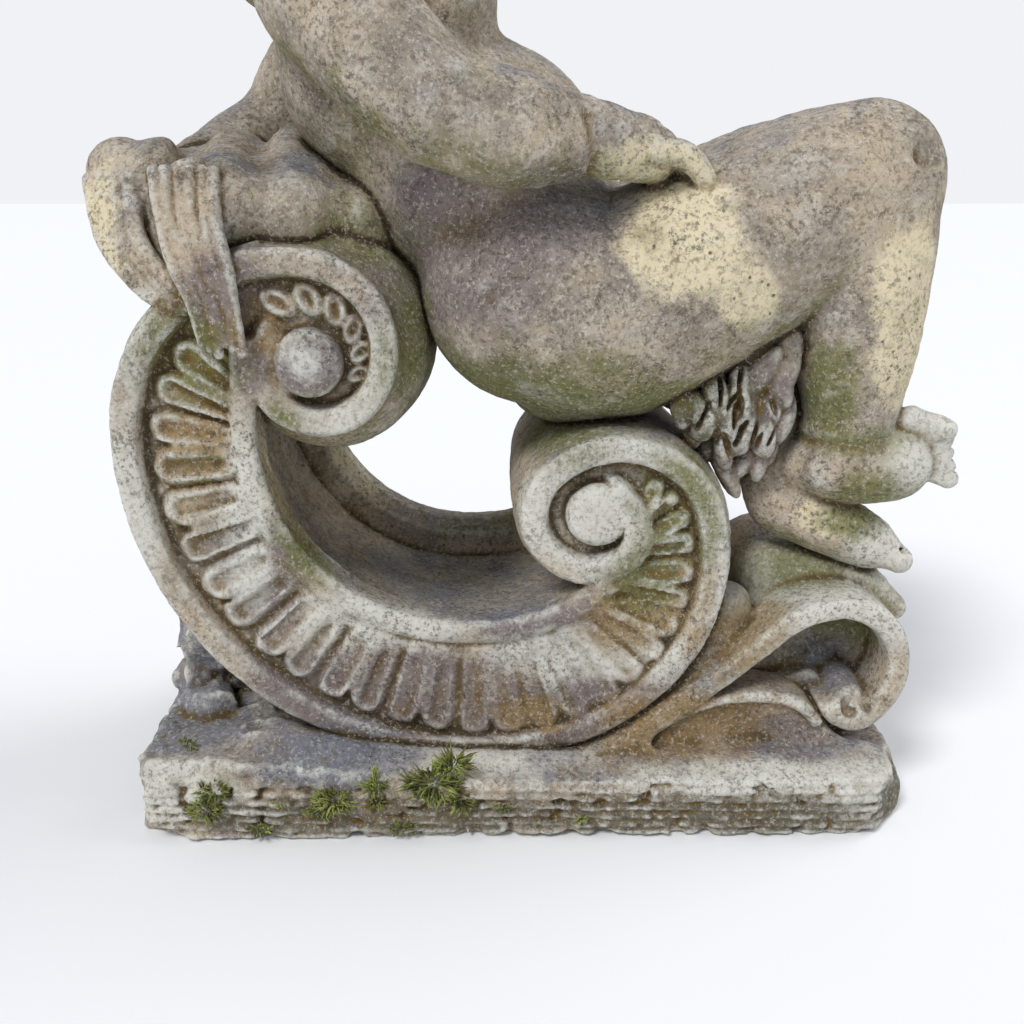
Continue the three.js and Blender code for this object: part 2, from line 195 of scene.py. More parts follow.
class Block:
    """A block of signed distances on a grid; negative is stone."""

    def __init__(self, low, high, cell):
        self.cell = cell
        self.low = np.array(low, np.float32)
        self.shape = np.ceil((np.array(high) - self.low) / cell).astype(int) + 1
        self.value = np.full(self.shape, FAR, np.float32)

    def window(self, low, high):
        """The cells inside a box, with their coordinates."""
        first = np.floor((np.array(low) - self.low) / self.cell).astype(int)
        first = np.clip(first, 0, self.shape - 1)
        last = np.ceil((np.array(high) - self.low) / self.cell).astype(int) + 1
        last = np.clip(last, first + 1, self.shape)
        spot = tuple(slice(a, b) for a, b in zip(first, last))
        x, y, z = (
            self.low[k] + self.cell * np.arange(first[k], last[k], dtype=np.float32) for k in range(3)
        )
        return spot, x[:, None, None], y[None, :, None], z[None, None, :]

    def add(self, form, blend=0):
        """Joins a form, (low corner, high corner, distance), with a rounded inner corner."""
        low, high, distance = form
        pad = blend + 3 * self.cell
        spot, x, y, z = self.window(np.array(low) - pad, np.array(high) + pad)
        self.value[spot] = smooth_min(self.value[spot], distance(x, y, z), blend)

    def cut(self, form, blend=0):
        """Cuts a form away, with a rounded edge."""
        low, high, distance = form
        pad = blend + 3 * self.cell
        spot, x, y, z = self.window(np.array(low) - pad, np.array(high) + pad)
        self.value[spot] = smooth_max(self.value[spot], -distance(x, y, z), blend)

    def everywhere(self):
        """Coordinates of the whole grid."""
        return self.window(self.low, self.low + self.cell * self.shape)[1:]


def smooth_run(stations, steps):
    """A curve through stations of any number of values, as Catmull and Rom draw it."""
    points = np.array(stations, float)
    ends = np.concatenate([[2 * points[0] - points[1]], points, [2 * points[-1] - points[-2]]])
    run = []
    for i in range(len(points) - 1):
        a, b, c, d = ends[i : i + 4]
        for t in np.arange(steps) / steps:
            run.append(0.5 * (2 * b + (c - a) * t + (2 * a - 5 * b + 4 * c - d) * t**2
                              + (3 * b - a - 3 * c + d) * t**3))
    return np.array([*run, points[-1]])


def limb(*stations, steps=4):
    """A round limb through stations (x, y, z, radius)."""
    run = smooth_run(stations, steps)
    reach = run[:, 3:].max()

    def distance(x, y, z):
        best = FAR
        for a, b in zip(run[:-1], run[1:]):
            axis = b[:3] - a[:3]
            dx, dy, dz = x - a[0], y - a[1], z - a[2]
            share = (dx * axis[0] + dy * axis[1] + dz * axis[2]) / max(axis @ axis, 1e-6)
            share = np.clip(share, 0, 1)
            gap = (dx - share * axis[0]) ** 2 + (dy - share * axis[1]) ** 2 + (dz - share * axis[2]) ** 2
            best = np.minimum(best, np.sqrt(gap) - a[3] - share * (b[3] - a[3]))
        return best.astype(np.float32)

    return run[:, :3].min(0) - reach, run[:, :3].max(0) + reach, distance


def turned(lean, turn):
    """The rotation that leans backwards about Y and then turns about Z, in degrees."""
    a, b = math.radians(lean), math.radians(turn)
    back = np.array([[math.cos(a), 0, -math.sin(a)], [0, 1, 0], [math.sin(a), 0, math.cos(a)]])
    round_z = np.array([[math.cos(b), -math.sin(b), 0], [math.sin(b), math.cos(b), 0], [0, 0, 1]])
    return round_z @ back


def ball(at, size, lean=0, turn=0):
    """An ellipsoid with its half sizes, leaned and turned."""
    spin = turned(lean, turn)
    at = np.array(at, float)
    reach = max(size)

    def distance(x, y, z):
        place = (x - at[0], y - at[1], z - at[2])
        own = [sum(place[axis] * spin[axis][k] for axis in range(3)) for k in range(3)]
        near = np.sqrt(sum((own[k] / size[k]) ** 2 for k in range(3)))
        slope = np.sqrt(sum((own[k] / size[k] ** 2) ** 2 for k in range(3)))
        return (near * (near - 1) / np.maximum(slope, 1e-6)).astype(np.float32)

    return at - reach, at + reach, distance


def slab(outline, front, back, edge=3):
    """A plane outline in X and Z run from front to back, with rounded edges."""
    outline = np.array(outline, float)
    low = (outline[:, 0].min(), front, outline[:, 1].min())
    high = (outline[:, 0].max(), back, outline[:, 1].max())

    def distance(x, y, z):
        return smooth_max(outline_distance(outline, x, z), np.abs(y - (front + back) / 2)
                          - (back - front) / 2, edge)

    return low, high, distance


def cloudy(block, size, seed):
    """Smooth random values between -1 and 1 over a block, in clouds of a size in millimetres."""
    chance = np.random.default_rng(seed)
    counts = np.ceil(block.shape * block.cell / size).astype(int) + 2
    values = chance.uniform(-1, 1, counts).astype(np.float32)
    for axis in range(3):
        place = np.arange(block.shape[axis]) * block.cell / size
        first = place.astype(int)
        share = (place - first).astype(np.float32)
        share = share * share * (3 - 2 * share)
        share = share.reshape([-1 if k == axis else 1 for k in range(3)])
        values = np.take(values, first, axis) * (1 - share) + np.take(values, first + 1, axis) * share
    return values


# ---- the C-scroll ----

OUTER_EDGE = arc_run((-255, 470), -96, OUTER_ARCS)
HOLLOW_EDGE = arc_run((-245, 413), -96, HOLLOW_ARCS)
OUTER_LENGTHS = lengths_of(OUTER_EDGE)


def edge_between(start, end):
    """The part of the outer edge between two lengths along it."""
    return OUTER_EDGE[(OUTER_LENGTHS >= start) & (OUTER_LENGTHS <= end)]


def channel_depths():
    """How far in the channel reaches from each point of the outer edge."""
    edges = [beside(HOLLOW_EDGE, -INNER_FILLET), edge_between(0, 330), edge_between(1560, 2300)]
    starts = np.concatenate([edge[:-1] for edge in edges])
    runs = np.concatenate([edge[1:] for edge in edges]) - starts
    depths = []
    for point, normal in zip(OUTER_EDGE, left_normals(OUTER_EDGE)):
        start = starts - point
        slant = runs[:, 0] * normal[1] - runs[:, 1] * normal[0]
        share = -(start[:, 0] * normal[1] - start[:, 1] * normal[0]) / slant
        along = (start + runs * share[:, None]) @ normal
        hit = along[(share >= 0) & (share <= 1) & (along > OUTER_FILLET + 5)]
        depths.append(hit.min() if len(hit) else TONGUES["longest"])
    longest = np.interp(OUTER_LENGTHS, (1360, 1560), (TONGUES["longest"], TONGUES["shortest"]))
    depths = np.minimum(depths, longest)
    return np.convolve(np.pad(depths, 3, mode="edge"), np.ones(7) / 7, mode="valid")


def channel_relief(x, z):
    """How far the scroll's carved face lies behind its fillets."""
    start = HOLLOW_EDGE[0]
    lead = start + (start - HOLLOW_EDGE[1]) * np.array([[4.4], [2.2]])
    rim = np.minimum(
        outline_distance(band(edge_between(0, SPIRAL_END), OUTER_FILLET), x, z),
        outline_distance(band(np.concatenate([lead, HOLLOW_EDGE]), -INNER_FILLET), x, z),
    )
    first, last = TONGUES["channel"]
    gap, _, length = along_run(edge_between(first, last), x, z, left_only=True)
    length = length + OUTER_LENGTHS[OUTER_LENGTHS >= first][0]
    foot = np.exp(-(((length - TONGUES["worn"]) / 210) ** 2))
    border = OUTER_FILLET + TONGUES["gap"] * (1 - 1.3 * foot)
    tip = gap - border
    reach = np.interp(length, OUTER_LENGTHS, channel_depths()) - border
    pitches = np.linspace(TONGUES["first"], TONGUES["last"], TONGUES["pairs"])
    joints = TONGUES["start"] + np.concatenate([[0], np.cumsum(pitches)])
    count = np.interp(length, joints, np.arange(len(joints)))
    count = np.where(length < joints[0], (length - joints[0]) / TONGUES["first"], count)
    across = count % 1
    pitch = np.interp(length, joints[1:], pitches) * (1 - 0.6 * tip / 300)
    lobe = np.abs((2 * across) % 1 - 0.5) * 2
    # rounded ends, with a groove between pairs and a small notch between the two lobes of a pair
    middle = np.abs(across - 0.5) < 0.25
    curve = 0.25 * pitch * (1 - np.sqrt(np.maximum(1 - lobe**2, 0)))
    end = np.where(middle, np.minimum(curve, 0.15 * pitch), 1.15 * curve)
    groove = np.minimum(across, 1 - across) * pitch
    groove = groove - np.interp(tip, [0, 90], [3.2, 1.2])
    plate = smooth_min(tip - end, groove, 8)
    raised = TONGUE * np.sqrt(smooth_step(plate, -1.5, 15))
    # a sunk almond in each lobe, and a low ridge between the two
    almond = (1 - (lobe / 0.62) ** 2) * smooth_step(tip, 5, 20)
    almond = almond * smooth_step(reach - tip, -4, 8 + 0.2 * reach)
    raised = raised - 8.5 * smooth_step(almond, 0, 0.9)
    valley = np.exp(-(((across - 0.5) * pitch) / 2.4) ** 2) * smooth_step(tip, 30, 2)
    raised = raised - 5 * valley
    worn = 1 - 0.52 * foot
    inside = smooth_step(length, 440, 470) * smooth_step(length, joints[-1] + 30, joints[-1])
    inside = inside * smooth_step(outline_distance(edge_between(*UPPER_VOLUTE), x, z), -4, 2)
    (eye_x, eye_z), _, _ = EYES["lower"]
    inside = inside * smooth_step(np.hypot(x - eye_x, z - eye_z), 43, 50)
    raised = raised * worn * smooth_step(tip - reach, 22, 4) * inside
    # the tongues sweep up to the foot of the inner fillet
    sweep = 12 * (1 - 0.62 * foot) * smooth_step(tip - reach, -0.24 * reach, 4) * inside
    floor = RELIEF * (1 - 0.40 * foot) - smooth_max(raised, sweep, 4)
    # the groove round each eye closes where the fillet curls into the eye
    for name, bearing, near_side, far_side in (("upper", 188, 50, 62), ("lower", 20, 37, 44)):
        (eye_x, eye_z), _, _ = EYES[name]
        away = np.hypot(x - eye_x, z - eye_z)
        facing = np.cos(np.arctan2(z - eye_z, x - eye_x) - math.radians(bearing))
        closed = smooth_step(facing, 0.40, 0.80) * smooth_step(away, far_side, near_side)
        floor = floor * (1 - 0.85 * closed)
    sunk = smooth_step(rim, -1.0, 4.0)
    softened = 2.4 * smooth_step(rim, -7, 0) * (1 - sunk)
    return floor * sunk + softened


def volute_leaves(block):
    """Small hooked leaves that curl round in the groove of the upper volute."""
    (eye_x, eye_z), _, _ = EYES["upper"]
    floor = RELIEF - FACE
    for angle, radius, size in (
        (116, 59, 19), (89, 56, 19), (62, 53, 18), (36, 50, 16), (10, 47, 14), (-15, 45, 12),
    ):
        bearing = math.radians(angle)
        x = eye_x + radius * math.cos(bearing)
        z = eye_z + radius * math.sin(bearing)
        block.add(ball((x, floor, z), (size, 11, 0.66 * size), lean=angle + 38), 2)
        block.cut(ball((x, floor - 11, z), (0.7 * size, 8, 0.32 * size), lean=angle + 30), 3)


def scroll_block(cell):
    """The C-scroll with its two volutes, its trough, fillets and tongues."""
    block = Block((-412, -164, 30), (222, 164, 604), cell)
    x, y, z = block.everywhere()
    outside = outline_distance(edge_between(*SCROLL_BACK), x, z)
    gap, side, _ = along_run(np.concatenate([
        HOLLOW_EDGE[:1] - 150 * (HOLLOW_EDGE[1] - HOLLOW_EDGE[0]) / 16,
        HOLLOW_EDGE,
        HOLLOW_EDGE[-1:] + 120 * (HOLLOW_EDGE[-1] - HOLLOW_EDGE[-2]) / 14,
    ]), x, z)
    hollow = gap * side
    upper = outline_distance(edge_between(*UPPER_VOLUTE), x, z)
    lower = outline_distance(edge_between(*LOWER_VOLUTE), x, z)
    lip = FACE - LIP
    across = np.array([-150, -lip - 4, -lip + 16, lip - 60, lip - 12, lip - 4, lip + 14, 150])
    trough = np.interp(y, across, TROUGH * np.array([0, 0, 0.95, 1.1, 0.7, -0.3, -0.9, -0.9]))
    dome = np.sqrt(np.maximum(1 - (y / (FACE + 4)) ** 2, 0))
    swell = BULGE * dome * smooth_step(np.abs(y), 150, 125)
    upper_swell = (BULGE + SWELL) * dome * smooth_step(-y, 132, 90)
    block.value = smooth_max(outside - swell, hollow + trough, 5)
    block.value = smooth_min(block.value, upper - upper_swell, 4)
    block.value = smooth_min(block.value, lower - swell, 4)
    relief = channel_relief(x, z)
    block.value = smooth_max(block.value, relief - FACE - y, 5)
    block.value = smooth_max(block.value, y - FACE + 0.45 * relief, 5)
    for (eye_x, eye_z), radius, front in EYES.values():
        away = np.hypot(x - eye_x, z - eye_z)
        face = front - 7 * (away / radius) ** 2
        boss = smooth_max(away - radius, np.abs(y) - face, 9)
        block.value = smooth_min(block.value, boss.astype(np.float32), 2)
    volute_leaves(block)
    return block


# ---- plinth, rock and the leaf scroll ----

LEAF_START = (42, 52)
LEAF_HEADING = 29
LEAF_RISE = [(900, 10), (1400, 4), (100, -43), (72, -90), (85, -45)]
LEAF_ROLL = [(38, -118)]
LEAF_EYE = (333, 111)
LEAF_FOOT = [(345, 40), (60, 40)]


def plinth_form():
    """The low plinth, higher at its left, with canted corners."""
    left, right, height, bevel = (PLINTH[k] for k in ("left", "right", "height", "bevel"))
    front, back = PLINTH["front"], PLINTH["back"]
    profile = np.array([
        (left, bevel), (left + 4, 0), (right - 4, 0), (right, bevel), (right, height - bevel),
        (right - bevel, height), (-60, height), (-190, height + 14), (-300, height + 28),
        (left + 14, height + 24), (left, height + 8),
    ], float)
    plan = np.array([
        (left + 22, front), (right - 42, front), (right, front + 42), (right, back - 40),
        (right - 40, back), (left + 60, back), (left, back - 60), (left, front + 50),
        (left + 14, front + 8),
    ], float)

    def distance(x, y, z):
        return smooth_max(outline_distance(profile, x, z), outline_distance(plan, x, y), 9)

    return (left, front, 0), (right, back, height + 30), distance


def leaf_forms(block):
    """The leaf that rises beside the scroll and curls over, its veins and the smaller leaves."""
    edge = arc_run(LEAF_START, LEAF_HEADING, LEAF_RISE + LEAF_ROLL)
    rise = arc_run(LEAF_START, LEAF_HEADING, LEAF_RISE)
    fill = np.concatenate([rise, LEAF_FOOT])
    block.add(slab(fill, -104, 118, edge=8), 4)
    for i, (y, radius) in enumerate([(-112, 11), (-66, 15), (-18, 12), (32, 15), (82, 13)]):
        block.add(limb(
            (110 + 14 * i, y, 78 + 12 * i, radius * 0.7), (190 + 8 * i, y, 136 + 9 * i, radius),
            (256, y + 4, 190 + 4 * i, radius + 3), (312, y + 6, 212 + 2 * i, radius + 4),
            (360 + 6 * (i % 2), y + 6, 186, radius + 2)), 12)
    block.add(ball((262, 30, 214), (52, 62, 40), lean=40), 14)
    block.add(limb((262, -46, 224, 36), (334, -66, 224, 29), (392, -68, 190, 14)), 8)
    # the hollow of the curl deepens towards its eye
    x, y, z = block.everywhere()
    curl = outline_distance(edge, x, z)
    bowl = smooth_max(curl + 17, -104 - 22 * smooth_step(-curl, 60, 20) - y, 6)
    bowl = smooth_max(bowl, y + 84 - 14 * smooth_step(-curl, 20, 55), 10)
    bowl = smooth_max(bowl, 96 - z + 0 * x, 8)
    block.value = smooth_max(block.value, -bowl.astype(np.float32), 6)
    block.add(slab(band(edge, -23), -152, -84, edge=10), 3)
    under = arc_run((70, 64), 33, [(700, -8), (200, -20), (150, -15), (60, -55)])
    block.add(slab(np.concatenate([under, LEAF_FOOT]), -140, -90, edge=8), 3)
    block.add(slab(band(under, -13), -149, -100, edge=8), 3)
    block.cut(ball((236, -152, 84), (64, 16, 26), lean=-10), 10)
    knob_x, knob_z = LEAF_EYE
    block.add(limb((knob_x, -126, knob_z, 19), (knob_x, -80, knob_z, 22)), 5)
    for turn in np.radians(np.arange(0, 300, 30)):
        size = 15 - 2.2 * turn
        block.cut(ball((knob_x + size * math.cos(turn), -146, knob_z + size * math.sin(turn)), (4, 6, 4)), 4)


def base_block(cell):
    """Plinth, the rough rock behind the scroll's foot, and the leaf scroll."""
    block = Block((-404, -212, -8), (426, 212, 272), cell)
    block.add(plinth_form())
    rocks = [
        ((-338, -38, 150), (33, 40, 48), 12, 0), ((-318, 10, 112), (56, 72, 50), 0, 20),
        ((-252, 70, 92), (92, 98, 44), 0, 0), ((-352, -52, 104), (24, 34, 26), 20, 30),
        ((-330, -84, 92), (30, 34, 22), 0, 40), ((-300, 60, 120), (34, 50, 34), 10, 60),
    ]
    for at, size, lean, turn in rocks:
        block.add(ball(at, size, lean, turn), 5)
    leaf_forms(block)
    # the cove that runs from the scroll and the leaves down to the plinth's front edge
    block.add(limb((-250, -150, 74, 26), (-120, -160, 52, 24), (60, -160, 44, 24),
                   (220, -158, 46, 24), (340, -150, 50, 20)), 26)
    # the bed of stone that joins the scroll to the leaf
    block.add(limb((20, -110, 62, 24), (110, -112, 92, 26), (172, -110, 142, 26), (210, -96, 205, 24)), 12)
    # weather and old knocks along the lower front edge and the corners
    chips = [
        ((-384, -206, 6), (40, 26, 22)), ((-352, -212, -2), (46, 18, 16)), ((-250, -208, -6), (60, 12, 11)),
        ((-120, -208, -7), (44, 11, 10)), ((150, -208, -7), (70, 10, 10)), ((392, -160, 54), (22, 30, 14)),
        ((392, 20, 58), (16, 40, 10)), ((330, -206, 58), (40, 9, 8)), ((-30, -207, 60), (50, 7, 6)),
    ]
    for at, size in chips:
        block.cut(ball(at, size), 6)
    rough_out(block)
    return block


def rough_out(block):
    """Broken rock, a knocked plinth and the level toothed tool marks on the plinth's front."""
    x, y, z = block.everywhere()
    coarse = cloudy(block, 34, 3)
    middling = cloudy(block, 15, 4)
    small = cloudy(block, 7, 5)
    rock = smooth_step(x, -210, -270) * smooth_step(z, 74, 90)
    ledges = np.abs(coarse + 0.4 * middling)
    low = smooth_step(z, PLINTH["height"] + 34, PLINTH["height"] + 14)
    low = low * (1 - smooth_step(x, 50, 110) * smooth_step(z, 54, 66))
    border = smooth_step(y, -184, -195) * smooth_step(z, 62, 54)
    left = smooth_step(x, -60, -240)
    wear = (2.2 + 2.4 * left) * (0.8 * coarse + 0.6 * middling + 0.35 * small)
    lines = np.sin(2 * math.pi * (z + 3.5 * coarse + 0.02 * x) / 9.5)
    block.value += rock * (9 * ledges - 2 + 2.4 * middling + 1.4 * small)
    block.value += low * wear
    block.value += border * (1.4 * lines + 1.1 * small + 5 * smooth_step(middling + 0.5 * small, 0.5, 0.95))
    # the foot of the front is broken away, most of all at the left
    broken = (7 + 12 * left) * smooth_step(coarse + 0.5 * middling, 0.05, 0.75)
    front = smooth_step(y, -150, -185)
    block.value = smooth_max(block.value, (broken - z) * front - FAR * (1 - front), 5)
    block.value = np.maximum(block.value, -z).astype(np.float32)


# ---- the putto ----

def toes(block, great, little, run):
    """Five toes with their nails, from the great toe to the little one."""
    great, little, run = (np.array(v, float) for v in (great, little, run))
    for i in range(5):
        start = great + (little - great) * i / 4
        length = 19 if i == 0 else 15
        radius = 13.5 if i == 0 else 11.5 - i * 0.3
        tip = start + run * length
        block.add(limb((*(start - run * 12), radius), (*start, radius * 0.92), (*tip, radius), steps=3), 4)
        nail = tip + np.array([0.35 * radius, -0.2 * radius, 0.78 * radius])
        block.cut(ball(nail, (radius * 0.7, radius * 0.55, radius * 0.22)), 1.5)


def hand(block, palm, run, across, side, drop=14):
    """A palm with four bent fingers and a thumb."""
    palm, run, across = (np.array(v, float) for v in (palm, run, across))

    def place(along, over, down=0):
        return palm + run * along + across * over - np.array([0, 0, down])

    block.add(limb((*place(-30, 0), 27), (*place(-4, 0), 29), (*place(16, 0, 3), 25)), 12)
    for k in (-1.5, -0.5, 0.5, 1.5):
        reach = 66 - 7 * abs(k)
        block.add(limb(
            (*place(8, k * 15, 1), 13), (*place(34, k * 17, 2), 12),
            (*place(reach - 8, k * 18, drop * 0.7), 11), (*place(reach, k * 18, drop + 4), 9.5)), 4)
        block.cut(ball(place(22, k * 16, -14), (5, 5, 5)), 6)
    block.add(limb((*place(-12, side * 22), 14), (*place(14, side * 40, 4), 12.5),
                   (*place(34, side * 44, 12), 10.5)), 7)


def legs(block):
    """The two legs: the near one crosses over, and both feet rest to the right."""
    block.add(limb((14, 62, 521, 110), (85, 70, 501, 104), (180, 76, 546, 96), (262, 82, 592, 84),
                   (316, 84, 618, 69)), 10)
    block.add(limb((320, 80, 608, 66), (314, 50, 530, 63), (300, 14, 455, 56), (280, -28, 385, 42),
                   (262, -54, 330, 37)), 14)
    block.add(limb((264, -64, 306, 33), (310, -76, 287, 33), (350, -78, 267, 26)), 12)
    block.add(limb((14, -62, 519, 110), (85, -70, 501, 106), (180, -76, 546, 97), (262, -82, 592, 86),
                   (316, -84, 620, 69)), 12)
    block.add(limb((318, -85, 610, 65), (317, -88, 540, 65), (318, -88, 470, 59), (320, -88, 422, 48),
                   (322, -88, 392, 42)), 8)
    block.add(ball((320, -87, 388), (46, 45, 20)), 5)
    block.add(ball((322, -88, 368), (42, 42, 20)), 5)
    block.add(limb((290, -80, 350, 32), (328, -90, 350, 39), (362, -98, 356, 39)), 7)
    block.add(ball((296, -112, 352), (22, 18, 22)), 12)
    toes(block, (385, -110, 396), (401, -106, 346), (0.93, -0.22, -0.28))
    block.add(limb((340, -74, 272, 28), (362, -82, 262, 21), (382, -86, 253, 13)), 12)
    toes(block, (366, -92, 258), (356, -48, 256), (0.9, -0.1, -0.35))
    # dimples of the knee, and the fold where the thigh meets the hip
    block.cut(ball((352, -140, 640), (16, 10, 12)), 14)
    block.cut(limb((40, -172, 600, 5), (6, -176, 560, 6), (-30, -160, 520, 4)), 16)


def trunk(block):
    """Hips, belly, chest, shoulders and neck along an axis that leans back."""
    block.add(ball((26, 0, 530), (110, 144, 110), BODY_LEAN))
    block.add(ball((-40, 0, 626), (122, 138, 118), BODY_LEAN), 30)
    block.add(ball((-126, 0, 714), (102, 126, 106), BODY_LEAN), 34)
    block.add(ball((48, 10, 412), (60, 108, 33)), 16)
    block.add(limb((-162, -106, 768, 58), (-154, 0, 784, 76), (-162, 106, 768, 58)), 30)
    block.add(limb((-168, 0, 800, 64), (-190, -4, 852, 60)), 24)
    for side in (-1, 1):
        block.add(ball((-62, 50 * side, 772), (40, 52, 36), BODY_LEAN), 26)
    for side in (-1, 1):
        block.add(ball((-34, 56 * side, 782), (5, 5, 5)), 3)
    block.cut(ball((70, 0, 706), (12, 9, 12)), 9)
    block.cut(limb((24, -120, 742, 2), (44, -60, 752, 4), (50, 0, 750, 4), (44, 60, 752, 4),
                   (24, 120, 742, 2)), 18)
    block.cut(limb((-196, 0, 560, 4), (-214, 0, 660, 7), (-236, 0, 760, 6), (-246, 0, 820, 4)), 26)


def arms(block):
    """The near arm rests on the thigh and the far arm lies back on the drapery."""
    block.add(limb((-166, -122, 776, 58), (-122, -156, 722, 54), (-74, -170, 678, 46)), 22)
    block.add(limb((-72, -170, 676, 46), (-12, -166, 658, 47), (62, -142, 652, 31)), 10)
    hand(block, (96, -130, 646), (0.94, 0.3, -0.12), (-0.3, 0.95, 0), 1)
    block.add(limb((-166, 122, 776, 58), (-222, 148, 728, 54), (-262, 154, 674, 46)), 22)
    block.add(limb((-262, 154, 672, 46), (-296, 114, 648, 45), (-322, 60, 634, 31)), 10)
    hand(block, (-330, 32, 628), (-0.25, -0.96, -0.1), (0.96, -0.25, 0), 1)
    # creases of plump arms at the elbows and wrists
    block.cut(limb((52, -181, 668, 2), (58, -176, 640, 2), (54, -146, 618, 2)), 14)
    block.cut(limb((-58, -220, 690, 2), (-60, -223, 664, 2), (-62, -208, 636, 2)), 16)


def figure_block(cell):
    """The putto without its head."""
    block = Block((-402, -228, 222), (428, 216, 924), cell)
    trunk(block)
    legs(block)
    arms(block)
    return block


# ---- the head, built looking along +X about its own middle ----

HEAD = {"at": (-196, -10, 962), "turn": -24, "nod": -8, "size": 1.16}


def face(block):
    """A calm, plump child's face."""
    block.add(ball((-12, 0, 14), (106, 94, 100)))
    block.add(ball((30, 0, -32), (68, 76, 80)), 30)
    block.add(ball((48, 0, 34), (56, 70, 52)), 26)
    for side in (-1, 1):
        block.add(ball((56, 38 * side, -46), (38, 34, 34)), 22)
        block.add(limb((94, 13 * side, 22, 7), (89, 36 * side, 29, 8), (68, 60 * side, 20, 7)), 16)
    block.add(ball((44, 0, -98), (40, 44, 20)), 20)
    block.add(ball((80, 0, -90), (20, 22, 18)), 16)
    block.add(ball((84, 0, -60), (22, 30, 22)), 16)
    for side in (-1, 1):
        block.cut(ball((100, 34 * side, 2), (17, 19, 14)), 14)
        block.add(ball((79, 34 * side, 1), (15, 17, 14)), 2)
        block.add(limb((88, 17 * side, 1, 3), (95, 27 * side, 11, 4), (93, 40 * side, 11, 4),
                       (82, 52 * side, 1, 3)), 3)
        block.add(limb((88, 18 * side, -2, 3), (92, 30 * side, -10, 3.4), (88, 43 * side, -9, 3.4),
                       (81, 52 * side, -1, 3)), 4)
        block.add(ball((96, 11 * side, -28), (10, 8.5, 8)), 5)
        block.cut(ball((104, 8 * side, -36), (5, 4, 4)), 3)
        block.cut(ball((98, 24 * side, -62), (6, 5, 5)), 8)
    block.add(limb((92, 0, 14, 8), (99, 0, -6, 8.5), (106, 0, -24, 12)), 9)
    block.cut(limb((104, 0, -40, 3), (105, 0, -48, 3)), 6)
    block.add(limb((97, -20, -58, 4), (103, -8, -53, 6.5), (102, 0, -55, 5.5), (103, 8, -53, 6.5),
                   (97, 20, -58, 4)), 4)
    block.add(limb((96, -17, -65, 4), (101, 0, -69, 7.5), (96, 17, -65, 4)), 4)
    block.cut(limb((98, -21, -61, 1.6), (108, 0, -60.5, 1.8), (98, 21, -61, 1.6)), 4)
    for side in (-1, 1):
        block.add(ball((-4, 94 * side, -22), (18, 11, 28), lean=-12), 4)
        block.cut(ball((1, 105 * side, -18), (9, 7, 16), lean=-12), 4)
    block.add(limb((-34, 0, -60, 54), (-36, 0, -112, 54)), 24)


def locks(block):
    """Curled locks, laid over the scalp from the brow to the nape."""
    count = 88
    for i in range(count):
        height = 1 - 1.28 * (i + 0.5) / count
        turn = i * math.pi * (3 - math.sqrt(5))
        flat = math.sqrt(max(1 - height**2, 0))
        out = np.array([flat * math.cos(turn), flat * math.sin(turn), height])
        brow = out[0] > 0.42 and height < 0.50
        temple = out[0] > 0.1 and height < 0.12
        jaw = out[0] > -0.35 and height < -0.1
        if brow or temple or jaw:
            continue
        at = np.array([-12, 0, 14]) + out * np.array([108, 96, 102])
        east = np.cross((0, 0, 1), out) if flat > 0.1 else np.array([0.0, 1.0, 0.0])
        east = east / np.linalg.norm(east)
        north = np.cross(out, east)
        hand_of_curl = 1 if i % 2 else -1
        stations = []
        for step in range(6):
            angle = hand_of_curl * (0.9 * step + 0.7 * i)
            radius = 17 - 2.7 * step
            spot = at + radius * (math.cos(angle) * east + math.sin(angle) * north) + out * (2.2 * step - 2)
            stations.append((*spot, 9.5 - 0.9 * step))
        block.add(limb(*stations, steps=2), 3)


def head_block(cell):
    """The head about its own middle, at its own size."""
    block = Block((-142, -136, -174), (128, 136, 142), cell)
    face(block)
    locks(block)
    return block


# ---- drapery ----

def upper_cloth_block(cell):
    """Cloth over the upper volute, gathered at the front in long pale ridges."""
    block = Block((-412, -182, 462), (-96, 214, 700), cell)
    drape = [
        ((-330, -80, 604, 48), (-352, 30, 596, 46), (-330, 150, 570, 38)),
        ((-268, -92, 596, 44), (-290, 40, 612, 56), (-276, 160, 590, 40)),
        ((-210, -84, 586, 44), (-232, 30, 610, 60), (-216, 160, 580, 44)),
        ((-160, -60, 574, 42), (-170, 40, 590, 58), (-158, 150, 560, 44)),
    ]
    for stations in drape:
        block.add(limb(*stations), 16)
    hems = [
        ((-362, -80, 622, 34), (-358, -106, 570, 27), (-334, -124, 536, 18), (-296, -142, 516, 11)),
        ((-326, -86, 622, 34), (-324, -112, 572, 20), (-302, -132, 528, 11), (-280, -142, 506, 7)),
    ]
    for stations in hems:
        block.add(limb(*stations), 8)
    block.add(limb((-296, -112, 626, 18), (-286, -136, 566, 14), (-268, -148, 516, 10),
                   (-264, -153, 486, 6)), 3)
    for i in range(6):
        sway = 1.2 * (-1) ** i
        block.add(limb(
            (-322 + 10.5 * i, -124 - 3 * (i % 2), 626, 6.4), (-314 + 9.5 * i + sway, -146, 586, 6.4),
            (-302 + 8.5 * i - sway, -156, 548, 6.2), (-290 + 7.6 * i + sway, -161, 514, 5.4),
            (-283 + 7.0 * i, -163, 482 - 5 * (i % 3), 4.4)), 1.2)
    for i in range(4):
        block.add(limb((-384 + 13 * i, -104 - 5 * i, 618, 9), (-372 + 12 * i, -124 - 6 * i, 570, 8),
                       (-344 + 13 * i, -140 - 3 * i, 530, 6), (-312 + 12 * i, -148 - 2 * i, 508, 4)), 4)
    for x in (-300, -240, -186):
        block.cut(limb((x, -110, 640, 7), (x - 14, 30, 664, 8), (x - 4, 170, 632, 7)), 18)
    return block


